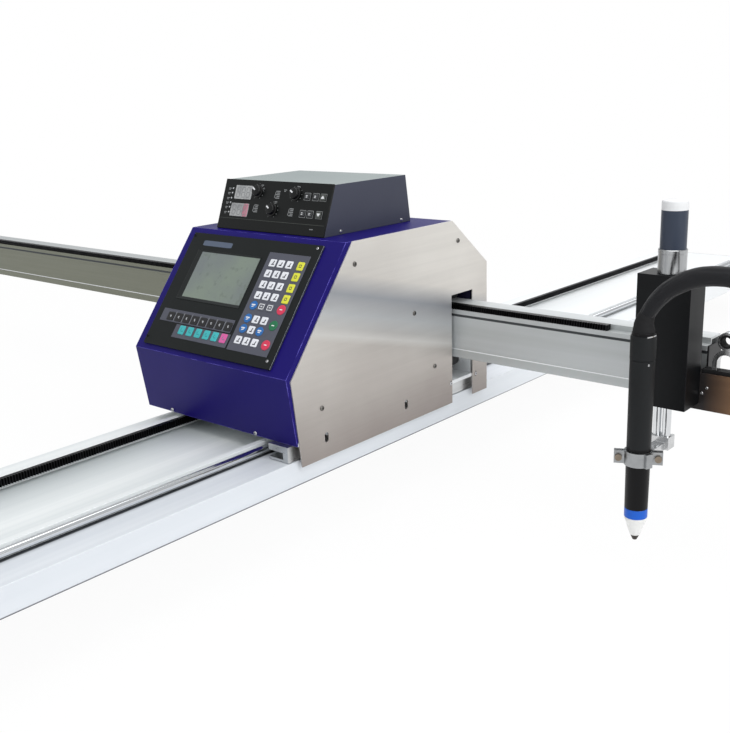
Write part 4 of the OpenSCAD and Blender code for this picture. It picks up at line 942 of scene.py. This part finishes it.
def railFinish(spot, normal):
    # The rail's faces take copies of its finish, with painted shade, reflection and light by where
    # they face
    if normal.z > facing and within(spot.z, railZones["topLevels"]):
        if abs(spot.x) < railZones["deckReach"]:
            return "railDeck"
        return "railFlange" if within(spot.x, railZones["flange"]) else None
    onFlank = within(spot.x, railZones["flank"]) and within(spot.z, railZones["flankLevels"])
    if normal.x > facing and onFlank:
        return "railFlank"
    side, level = railZones["edgeFrom"]
    if spot.x > side and spot.z > level and max(abs(normal.x), normal.z) < facing:
        return "railEdge"
    return None


def beamFinish(spot, normal):
    # On the front face the grooves' upper sides take painted shade, and their lower sides and the
    # ridges a painted highlight; the front and the top take a copy with painted shade towards the
    # left
    ridged = spot.x > beamZones["ridgesFrom"] and not within(spot.z, beamZones["plainLevels"])
    if normal.y < -facing and ridged:
        return "ridgeHighlight"
    if within(spot.y, beamZones["lip"]) and within(spot.z, beamZones["lipLevels"]):
        return "grooveShade"
    grooved = spot.y < beamZones["lip"][1] and spot.z < beamZones["groovesBelow"]
    if grooved and abs(normal.z) > 0.2:
        return "ridgeHighlight" if normal.z > 0 else "grooveShade"
    onTop = normal.z > facing and spot.y < beamZones["topUpTo"]
    return "beamFace" if onTop or normal.y < -0.5 else None


def caseFinish(spot, normal):
    # The case's top faces take the copy of its paint with the painted sheen
    return "caseTopSheen" if normal.z > facing and spot.z > caseTopFrom else None


def panelFinish(spot, normal):
    return "panelEdge" if normal.x > 0.7 and spot.x > panelEdgeFrom else None


pieces = {}
for node, finish in plainFinish.items():
    made = frame["nodes"][node]
    made.data.materials.clear()
    made.data.materials.append(mats[finish])
for node, values in roundedFinish.items():
    pieces[node] = rounded(node, *values)
print("rounded pieces", len(pieces))

for node, finishOf in (
    ("thc_case", caseFinish), ("beam_profile", beamFinish), ("rail_profile", railFinish),
    ("control_panel", panelFinish),
):
    refinishFaces(pieces[node], finishOf)
for node, finish, chosen in (
    ("cable_clamp", "rubber", lambda low, high: high.z - low.z < 25),
    ("rear_sockets", "nylon", lambda low, high: low.x > 98),
    ("torch_clamp", "boltSteel", lambda low, high: high.z - low.z < 12),
    ("lift_block", "gearSteel", lambda low, high: low.z > 250),
):
    refinishParts(pieces[node], finish, chosen)


# Tilted faces that the panel pieces stand on
class Face:
    # u runs across the face, v up it and w out of it, in mm
    def __init__(self, origin, tilt):
        self.frame = at(*origin) @ turnedBy(tilt, "X")

    def spot(self, u, v, w=0.0, turn=0.0):
        return self.frame @ at(u, v, w) @ turnedBy(turn, "Z")


slope = Face((0, -607, 279), 52.018)
frontSheet = Face((0, -590.5, 168), 98.455)
thcFace = Face((-130, -442.5, 466), 68.708)
filmDepth = 0.12

keepShape("film", [softRectangle(1, 1, 0.12, 0), softRectangle(1, 1, 0.12, 1)], 60)


def flatMarks(name, face, marks, lift, finish, node):
    # Printed marks: thin raised films, one for each (u, v, width, height, turn)
    spots = [(face.spot(u, v, lift, turn), (w, h, filmDepth)) for u, v, w, h, turn in marks]
    goWith(placed(name, spots, "film", finish), node)


def marksAt(u, v, marks):
    # A pattern of marks, moved to its place
    return [(u + du, v + dv, *rest) for du, dv, *rest in marks]


def outlineMarks(u, v, du, dv, width, height, line):
    # Four lines round a place, two across it at dv and two up it at du
    return [
        (u, v + dv, width, line, 0), (u, v - dv, width, line, 0),
        (u - du, v, line, height, 0), (u + du, v, line, height, 0),
    ]


# Screws of the cover, the side plates, the panels and the bracket
sideScrews = {
    # name: X on the right and on the left, (Y, Z) of each, size of the head
    "plateScrews": (
        (191, -179), [(-445, 430), (-167, 429), (-296, 322), (-240, 215), (-534, 216)],
        (4.2, 4.2, 2),
    ),
    "footScrews": ((191, -179), [(-192, 170.5), (-113, 170.5)], (3.4, 3.4, 1.6)),
    "caseScrews": ((126, -130), [(-403, 471.5), (-245, 471.5)], (3.2, 3.2, 1.5)),
}
frontScrews = {
    "panelSpots": [(-154.5, 22), (140, 22), (-154.5, 220), (141.5, 220)],
    "panelHead": (2.6, 2.6, 1.3),
    "sheetSpots": [(-111, 4), (97, 4)],
    "sheetHead": (3.6, 3.6, 2),
    "bracketSpots": [(660, 238), (667, 247), (820, 222), (820, 258)],
    "bracketFace": -198,
    "bracketHead": (2.6, 2.6, 1.6),
}


def sideSpots(name):
    places, spots, head = sideScrews[name]
    return [
        (at(x, y, z) @ turnedBy(90 * side, "Y"), head)
        for side, x in zip((1, -1), places) for y, z in spots
    ]


def makeScrews():
    keepShape("socketHead", turned([(1, -0.1), (1, 0.3), (0.93, 0.7), (0.74, 1)], 24) + [
        hexagon(0.52, 1), hexagon(0.48, 0.3),
    ])
    keepShape("slotHead", turned([(1, -0.1), (1, 0.3), (0.8, 0.85), (0.4, 1)], 20))
    dark, bright = [], []
    for u, v in frontScrews["panelSpots"]:
        (dark if u < 0 else bright).append((slope.spot(u, v, 4), frontScrews["panelHead"]))
    for u, v in frontScrews["sheetSpots"]:
        bright.append((frontSheet.spot(u, v), frontScrews["sheetHead"]))
    for name, spots, finish in (
        ("plateScrews", sideSpots("plateScrews"), "screwSteel"), ("panelScrews", dark, "darkScrew"),
        ("footScrews", sideSpots("footScrews"), "nickel"), ("sheetScrews", bright, "nickel"),
    ):
        standFor(placed(name, spots, "socketHead", finish), "cover_screws")
    made = placed("caseScrews", sideSpots("caseScrews"), "slotHead", "nickel")
    goWith(made, "thc_case")
    bracket = [
        (at(x, frontScrews["bracketFace"], z) @ turnedBy(90, "X"), frontScrews["bracketHead"])
        for x, z in frontScrews["bracketSpots"]
    ]
    made = placed("bracketScrews", bracket, "socketHead", "nickel")
    goWith(made, "lifter_bracket")


makeScrews()


# Control panel
panel = {
    "top": 4.0,
    "filmTop": 4.6,
    "keyTop": 5.6,
    "columns": [60.5, 79, 98, 123],
    "rows": [185.5, 166, 146, 126.5, 108, 85, 66.5, 46.5],
    "letters": ["wwwy", "wwwy", "wwwy", "wwwy", "boor", "bwwg", "bwb.", "wwwr"],
    "greenShift": (-2, -5),
    "keySize": (13.8, 13.2),
    "blackStretch": (1.22, 1.16, 1),
    "tealStretch": (1.02, 1.2, 1),
    "upperRow": (-118.5, 64.5, 8),
    "lowerRow": (-76.5, 43.5, 6),
    "rowStep": 20.7,
    "lcd": (-128.5, 98, 158, 96),
    "rim": (11, 6, 3, 3),
    "rimProfile": [(0, 4.35), (0.12, 4.6), (1, 3.1), (1, 2.2), (0, 2.2)],
    "glassLap": 0.3,
    "glassFoot": -0.8,
    "glassProfile": (0, 3.7, 3.8),
    "nameStrip": (-87.5, 207.5, 73, 10, 0),
    "tealMarks": [(1.4, -2.2, 5.2, 1.1, 0), (-1.4, 1.2, 1.2, 4.4, -20)],
}
keyKinds = {
    # letter: colour, shape, stretch
    "w": ("white", "key", (1, 1, 1)),
    "y": ("yellow", "key", (1, 1.12, 1)),
    "o": ("outline", "key", (1, 1, 1)),
    "b": ("blue", "roundKey", (7.9, 7.9, 1)),
    "r": ("red", "roundKey", (8.6, 8.6, 1)),
    "g": ("green", "roundKey", (8.6, 8.6, 1)),
}


def keyMarks(letter, column, u, v):
    # Generic strokes and frames
    if letter == "w":
        lean = (column * 37 + int(v)) % 3
        return [
            (u + 2.2, v - 0.4 + lean * 0.6, 1.9, 6.6, -18),
            (u + 0.4 + lean * 0.7, v - 2.9, 6, 1.7, 0),
        ]
    if letter == "y":
        return outlineMarks(u, v, 2.1, 2.1, 5, 4.2, 1)
    if letter == "o":
        return outlineMarks(u, v, 5.2, 4.1, 11, 8, 1.2) + [(u, v, 3.6, 1.6, 0)]
    if letter == "b":
        return [(u, v + 1.2, 8.4, 2, 0), (u, v - 1.8, 5.2, 1.7, 0 if column else 20)]
    return [(u, v, 6, 1.5, 0)]


def makeKeys():
    width, height = panel["keySize"]
    keepShape("key", [
        softRectangle(width - less, height - less, corner, lift)
        for less, corner, lift in ((0, 1.6, 0), (0, 1.6, 0.6), (0.8, 1.4, 0.95), (2, 1, 1))
    ])
    keepShape("roundKey", turned([(1, 0), (1, 0.6), (0.94, 0.92), (0.8, 1)], 32))
    spots = {letter: [] for letter in keyKinds}
    dark, light = [], []
    for row, letters in zip(panel["rows"], panel["letters"]):
        for column, letter in enumerate(letters):
            if letter == ".":
                continue
            du, dv = panel["greenShift"] if letter == "g" else (0, 0)
            u, v = panel["columns"][column] + du, row + dv
            spots[letter].append((slope.spot(u, v, panel["filmTop"]), keyKinds[letter][2]))
            (dark if letter in "wy" else light).extend(keyMarks(letter, column, u, v))
    for letter, (name, shape, _) in keyKinds.items():
        standFor(placed(name + "Keys", spots[letter], shape, name + "Key"), "keypad_keys")
    flatMarks("keyMarks", slope, dark, panel["keyTop"], "darkInk", "keypad_keys")
    flatMarks("keyLights", slope, light, panel["keyTop"], "whiteInk", "keypad_keys")


def makeFunctionKeys():
    def row(name, places, v, stretch, finish):
        spots = [(slope.spot(u, v, panel["filmTop"]), stretch) for u in places]
        standFor(placed(name, spots, "key", finish), "function_keys")

    start, v, count = panel["upperRow"]
    upper = [start + i * panel["rowStep"] for i in range(count)]
    row("blackKeys", upper, v, panel["blackStretch"], "blackKey")
    marks = []
    for i, u in enumerate(upper):
        marks += [(u, v + 0.6, 3.6, 2.2, 40 * i), (u + 0.8, v - 1.6, 2.6, 1.1, 0)]
    flatMarks("functionLights", slope, marks, panel["keyTop"], "paleInk", "function_keys")
    marks = [(u + panel["rowStep"] / 2, v + 1, 1, 17, 0) for u in upper[:-1]]
    flatMarks("functionPartings", slope, marks, panel["filmTop"], "greyInk", "function_keys")

    start, v, count = panel["lowerRow"]
    lower = [start + i * panel["rowStep"] for i in range(count)]
    row("tealKeys", lower[:-1], v, panel["tealStretch"], "tealKey")
    row("pinkKey", lower[-1:], v, panel["tealStretch"], "pinkKey")
    marks = []
    for u in lower:
        marks += marksAt(u, v, panel["tealMarks"])
    flatMarks("tealMarks", slope, marks, panel["keyTop"], "tealInk", "function_keys")


def makeScreen():
    left, low, width, height = panel["lcd"]
    rimLeft, rimLow, rimRight, rimTop = panel["rim"]

    def outline(inset, w):
        # inset is the share of the rim's width by which the outline is drawn in
        near, far = left + rimLeft * inset, left + width - rimRight * inset
        foot, head = low + rimLow * inset, low + height - rimTop * inset
        corners = ((near, foot), (far, foot), (far, head), (near, head))
        return [slope.spot(u, v, w).translation for u, v in corners]

    points = [point for inset, w in panel["rimProfile"] for point in outline(inset, w)]
    rows = len(panel["rimProfile"])
    faces = []
    for i in range(rows):
        here, there = i * 4, (i + 1) % rows * 4
        for k in range(4):
            n = (k + 1) % 4
            faces.append((here + k, here + n, there + n, there + k))
    rim = addObject("screenRim", meshFrom("screenRim", points, faces), "screenRim")
    standFor(rim, "lcd_screen")
    glassWidth = width - rimLeft - rimRight + 2 * panel["glassLap"]
    glassHeight = height - rimLow - rimTop + 2 * panel["glassLap"]
    middle = (left + (width + rimLeft - rimRight) / 2, low + (height + rimLow - rimTop) / 2)
    spot = slope.spot(*middle, panel["glassFoot"])
    rings = [
        [spot @ p for p in softRectangle(glassWidth, glassHeight, 1, lift)]
        for lift in panel["glassProfile"]
    ]
    standFor(skin("screenGlass", rings, "lcdGlass", 0), "lcd_screen")
    flatMarks("bareStrip", slope, [panel["nameStrip"]], panel["top"], "stripInk", "control_panel")


makeKeys()
makeFunctionKeys()
makeScreen()
print("control panel")


# Height controller's face
thc = {
    "top": 3.0,
    "windows": {"upperDisplay": (50, 65, 42, 24), "lowerDisplay": (48, 34, 44, 23)},
    "windowProfile": [(0, -0.2), (0, 0.5), (0.8, 0.8)],  # inset and height
    "windowCorner": 1.2,
    "pinkShare": (63.5, 34, 12, 22, 0),
    "digitStep": 0.29,
    "barLevels": (-0.36, 0, 0.36),
    "bar": (7, 1.1, 0),
    "strokeSpots": ((-3.9, 0.18), (3.9, 0.18), (-3.9, -0.18), (3.9, -0.18)),
    "stroke": (1.1, 6.4, -6),
    "lamps": [(22, v) for v in (71, 63, 54, 46, 38, 29)],
    "lampSize": (1.6, 1.6, 1),
    "lampMarks": [(-8, 0, 6.6, 1.5, 0), (-8.6, -2.3, 4.6, 1, 0)],
    "knobs": [(86, 68.5), (128, 38.5), (176, 67.5)],
    "knobTurn": 59,
    "knobProfile": [  # radius, height, depth of the flutes
        (4, -10, 0), (4, 0.4, 0), (11, 0.4, 0), (11, 1.8, 0), (9.8, 2.6, 0.45), (9.3, 7.2, 0.45),
        (8.6, 8.1, 0.2), (8.1, 8.35, 0),
    ],
    "knobFlutes": 18,
    "knobLines": [(8.3, 4.6, (2.6, 7, 0.15)), (1.8, 10.1, (1.7, 1.6, 0.15))],
    "dialRadius": 13.4,
    "buttons": [(203, 64.5), (222, 64.5), (239, 64.5), (200, 35.5), (217, 35.5), (237, 35.5)],
    "buttonFrame": (6.6, 6, 14, 12, 0.9),
    "buttonMarks": [(0, 1.2, 3.6, 1.1, 0), (0, -1.2, 3.6, 1.1, 0)],
    "shortMark": [(0, 0, 6.6, 1.4, 0), (-0.8, -2.4, 4.2, 1.2, 0)],
    "shortMarks": [(93.1, 79.4), (97.1, 73.4), (133.1, 52.4), (179.1, 80.4), (150.1, 73.4)],
    "tallMarks": [(134.1, 64.4), (88.1, 38.4), (173.1, 36.4)],
    "footMark": (226, 11, 8, 1.4, 0),
    "seam": (128, 18.5, 250, 0.7, 0),
}


def makeWindows():
    top = thc["top"]
    segments = []
    for name, (u, v, w, h) in thc["windows"].items():
        spot = thcFace.spot(u, v, top)
        rings = [
            [spot @ p for p in softRectangle(w - inset, h - inset, thc["windowCorner"], lift)]
            for inset, lift in thc["windowProfile"]
        ]
        standFor(skin(name, rings, "greyDisplay", 0), "thc_displays")
        for digit in (-1, 0, 1):
            mid = u + digit * w * thc["digitStep"]
            segments += [(mid, v + dv * h, *thc["bar"]) for dv in thc["barLevels"]]
            segments += [(mid + du, v + dv * h, *thc["stroke"]) for du, dv in thc["strokeSpots"]]
    pink = [thc["pinkShare"]]
    flatMarks("pinkField", thcFace, pink, top + 0.8, "pinkDisplay", "thc_displays")
    flatMarks("unlitDigits", thcFace, segments, top + 0.85, "segmentInk", "thc_displays")
    keepShape("lampDome", turned([(1, -0.1), (1, 0.4), (0.75, 0.85), (0.35, 1)], 16))
    domes = [(thcFace.spot(u, v, top), thc["lampSize"]) for u, v in thc["lamps"]]
    standFor(placed("stateLamps", domes, "lampDome", "paleLamp"), "thc_displays")
    legend = []
    for u, v in thc["lamps"]:
        legend += marksAt(u, v, thc["lampMarks"])
    flatMarks("lampLegend", thcFace, legend, top, "greyInk", "thc_faceplate")


def makeFaceMarks():
    top = thc["top"]
    marks = [thc["footMark"]]
    for u, v in thc["shortMarks"]:
        marks += marksAt(u, v, thc["shortMark"])
    for u, v in thc["tallMarks"]:
        for i in range(5):
            marks.append((u + i % 2, v + 6 - 2.9 * i, 9.5 - i % 2 * 2.6, 1.7, 0))
        marks.append((u - 6, v, 1.3, 11, -8))
    reach = thc["dialRadius"]
    for u, v in thc["knobs"]:
        for degrees in range(240, -90, -30):
            a = math.radians(degrees)
            marks.append((u + reach * math.cos(a), v + reach * math.sin(a), 1.7, 0.7, degrees))
    flatMarks("scaleMarks", thcFace, marks, top, "greyInk", "thc_faceplate")
    flatMarks("faceSeam", thcFace, [thc["seam"]], top, "seamInk", "thc_faceplate")
    frames, fields, strokes = [], [], []
    for k, (u, v) in enumerate(thc["buttons"]):
        frames += outlineMarks(u, v, *thc["buttonFrame"])
        if k % 3 == 2:
            # The last button of each row has three lines that narrow up or down
            fields.append((u, v, 11.6, 10.4, 0))
            step = -1.5 if k > 2 else 1.5
            strokes += [(u, v + i * step, w, 1.6, 0) for i, w in ((-1, 7), (0, 5), (1, 2.6))]
        else:
            strokes += marksAt(u, v, thc["buttonMarks"])
    flatMarks("buttonFrames", thcFace, frames, top, "greyInk", "thc_faceplate")
    flatMarks("arrowFields", thcFace, fields, top + 2, "seamInk", "thc_buttons")
    flatMarks("buttonMarks", thcFace, strokes, top + 2.1, "whiteInk", "thc_buttons")


def makeKnob(number, u, v):
    # Fluted pointer knob on a skirt
    node = f"thc_knob_{number}"
    spot = thcFace.spot(u, v, thc["top"], thc["knobTurn"])
    rings = []
    for radius, lift, depth in thc["knobProfile"]:
        rings.append([
            spot @ polar(radius - depth * (0.5 + 0.5 * math.cos(thc["knobFlutes"] * a)), a, lift)
            for a in anglesRound(72)
        ])
    standFor(skin(f"pointerKnob{number}", rings, "knobPlastic", 40), node)
    lines = [(spot @ at(0, out, lift), size) for lift, out, size in thc["knobLines"]]
    goWith(placed(f"knobLine{number}", lines, "film", "whiteInk"), node)


makeWindows()
makeFaceMarks()
for number, (u, v) in enumerate(thc["knobs"], 1):
    makeKnob(number, u, v)
print("height controller")


# Lifter's motor and torch, turned about their axes
motor = {
    "axis": (614.5, -224),
    "lifterGearbox": [
        (20, 421), (20.7, 421.8), (20.7, 450.4), (21, 450.8), (21, 456), (20.2, 457),
    ],
    "lifterCan": [(18.4, 456.8), (19, 457.4), (19, 513.2)],
    "lifterCap": [
        (19, 513.2), (19, 523.5), (18.6, 525.6), (17.4, 526.8), (15.5, 527), (6, 527),
    ],
}
torch = {
    "axis": (626, -333),
    "torchSleeve": [
        (16.5, 92), (16.7, 93), (17.2, 153), (17.25, 155), (17.25, 186), (17.7, 316.4),
        (17.1, 316.8), (17.1, 318), (18, 318.6), (18, 349.5), (17.4, 352.2), (15.4, 353),
    ],
    "torchCollar": [(15.2, 352.6), (16.4, 353), (16.4, 356.2), (15.8, 357)],
    "colouredRing": [(16.3, 78), (16.75, 78.6), (16.75, 91.4), (16.3, 92)],
    "shieldCup": [
        (7.2, 49), (7.6, 49.6), (12.2, 63), (15.75, 73.6), (16.2, 74.2), (16.25, 77.4), (15.6, 78),
    ],
    "electrodeTip": [(2.6, 40.5), (3.4, 41.2), (5.4, 45.6), (6.8, 49)],
    "darkBelow": 172,
    "clipAngles": (-48, 62),
    "clipLevel": 351.2,
    "clipRadii": (16.2, 17.9),
    "clipHeight": 1.7,
    "clipArch": 1.2,
    "clipSteps": 24,
    "screwSpot": (14.2, -9.9, 312),
    "screwTurn": -35,
    "screwHead": (1.7, 1.7, 0.7),
}


def makeClip():
    # Bright lip of the clip that grips the sleeve, open on its far side
    start, end = torch["clipAngles"]
    inner, outer = torch["clipRadii"]
    rings = []
    for k in range(torch["clipSteps"] + 1):
        share = k / torch["clipSteps"]
        foot = torch["clipLevel"] + torch["clipArch"] * math.sin(math.pi * share)
        head = foot + torch["clipHeight"]
        rings.append([
            polar(radius, math.radians(start + (end - start) * share), height, torch["axis"])
            for radius, height in ((inner, head), (outer, head), (outer, foot), (inner, foot))
        ])
    goWith(skin("sleeveClip", rings, "nickel"), "torch_body")


def makeMotorAndTorch():
    for name, finish in (
        ("lifterGearbox", "gearboxSteel"), ("lifterCan", "canPaint"), ("lifterCap", "capWhite"),
    ):
        standFor(lathe(name, motor[name], motor["axis"], finish), "lifter_motor")
    for name, finish, node, sides in (
        ("torchSleeve", "torchSleeve", "torch_body", 72),
        ("torchCollar", "torchDark", "torch_body", 72),
        ("colouredRing", "blueRing", "torch_ring", 72),
        ("shieldCup", "ceramic", "torch_nozzle", 72),
        ("electrodeTip", "tipMetal", "torch_tip", 48),
    ):
        made = standFor(lathe(name, torch[name], torch["axis"], finish, sides), node)
        if name == "torchSleeve":
            dark = torch["darkBelow"]
            refinishFaces(made, lambda spot, normal: "torchDark" if spot.z < dark else None)
    makeClip()
    spot = (
        at(*torch["axis"], 0) @ at(*torch["screwSpot"]) @ turnedBy(torch["screwTurn"], "Z")
        @ turnedBy(90, "Y")
    )
    made = placed("sleeveScrew", [(spot, torch["screwHead"])], "socketHead", "nickel")
    goWith(made, "torch_body")


makeMotorAndTorch()
for shape in shapes.values():
    bpy.data.objects.remove(shape)
print("lifter and torch")


# Light, floor and room
room = {
    "floorSize": 24.0,
    "floorColor": (0.93, 0.93, 0.93, 1),
    "shadowShare": 0.06,
    "shadowReach": (1.2, 3.4),
    "worldLight": 0.6,
    "worldColor": (0.97, 0.985, 1.0, 1),
}
lamps = {
    # name: place, aim, size, watts
    "topLamp": ((0.4, -0.6, 3.6), (0.1, -0.3, 0.2), 3.2, 60),
    "sideLamp": ((3.2, -0.9, 2.0), (0.2, -0.3, 0.3), 2.4, 52),
    "backLamp": ((-0.8, 3.0, 2.6), (0.1, 0.0, 0.3), 2.4, 26),
}


def makeFloor():
    # What the camera and the gloss see of it is mostly plain white; a share of the shadow stays
    # near the machine and fades out between the two reaches
    f = Finish("floorWhite", (255, 255, 255), 0.9)
    feed(f.shader, {"Base Color": room["floorColor"]})
    rays = nodeIn(f.tree, "ShaderNodeLightPath").outputs
    seen = mathIn(f.tree, "MAXIMUM", rays["Is Camera Ray"], rays["Is Glossy Ray"])
    seen = mathIn(f.tree, "MAXIMUM", seen, rays["Is Transmission Ray"])
    away = nodeIn(f.tree, "ShaderNodeVectorMath", {0: objectPlace(f.tree)}, operation="LENGTH")
    fade = rangedIn(
        f.tree, away.outputs["Value"], 1 - room["shadowShare"], 1, *room["shadowReach"],
        interpolation_type="SMOOTHSTEP",
    )
    white = nodeIn(f.tree, "ShaderNodeEmission", {"Strength": 1})
    blend = nodeIn(f.tree, "ShaderNodeMixShader", {
        "Fac": mathIn(f.tree, "MULTIPLY", seen, fade), 1: f.shader.outputs[0], 2: white.outputs[0],
    })
    feed(f.tree.nodes["Material Output"], {"Surface": blend.outputs[0]})
    mats["floorWhite"] = f.material
    half = room["floorSize"] / 2
    corners = [(-half, -half, 0), (half, -half, 0), (half, half, 0), (-half, half, 0)]
    addObject("floor", meshFrom("floor", corners, [(0, 1, 2, 3)]), "floorWhite")


def makeWorld():
    # The camera sees plain white, and the machine gets a soft cool light
    world = bpy.data.worlds.new("studio")
    bpy.context.scene.world = world
    world.use_nodes = True
    tree = world.node_tree
    light = tree.nodes["Background"]
    feed(light, {"Strength": room["worldLight"], "Color": room["worldColor"]})
    white = nodeIn(tree, "ShaderNodeBackground", {"Color": (1, 1, 1, 1)})
    blend = nodeIn(tree, "ShaderNodeMixShader", {
        "Fac": nodeIn(tree, "ShaderNodeLightPath").outputs["Is Camera Ray"],
        1: light.outputs[0], 2: white.outputs[0],
    })
    feed(tree.nodes["World Output"], {"Surface": blend.outputs[0]})


def makeLamps():
    for name, (place, aim, size, watts) in lamps.items():
        data = bpy.data.lights.new(name, "AREA")
        data.shape = "SQUARE"
        data.size = size
        data.energy = watts
        made = bpy.data.objects.new(name, data)
        made.location = place
        made.rotation_euler = (Vector(aim) - Vector(place)).to_track_quat("-Z", "Y").to_euler()
        bpy.context.scene.collection.objects.link(made)


makeFloor()
makeWorld()
makeLamps()
bpy.context.scene.view_settings.view_transform = "Standard"
print("room and lamps")
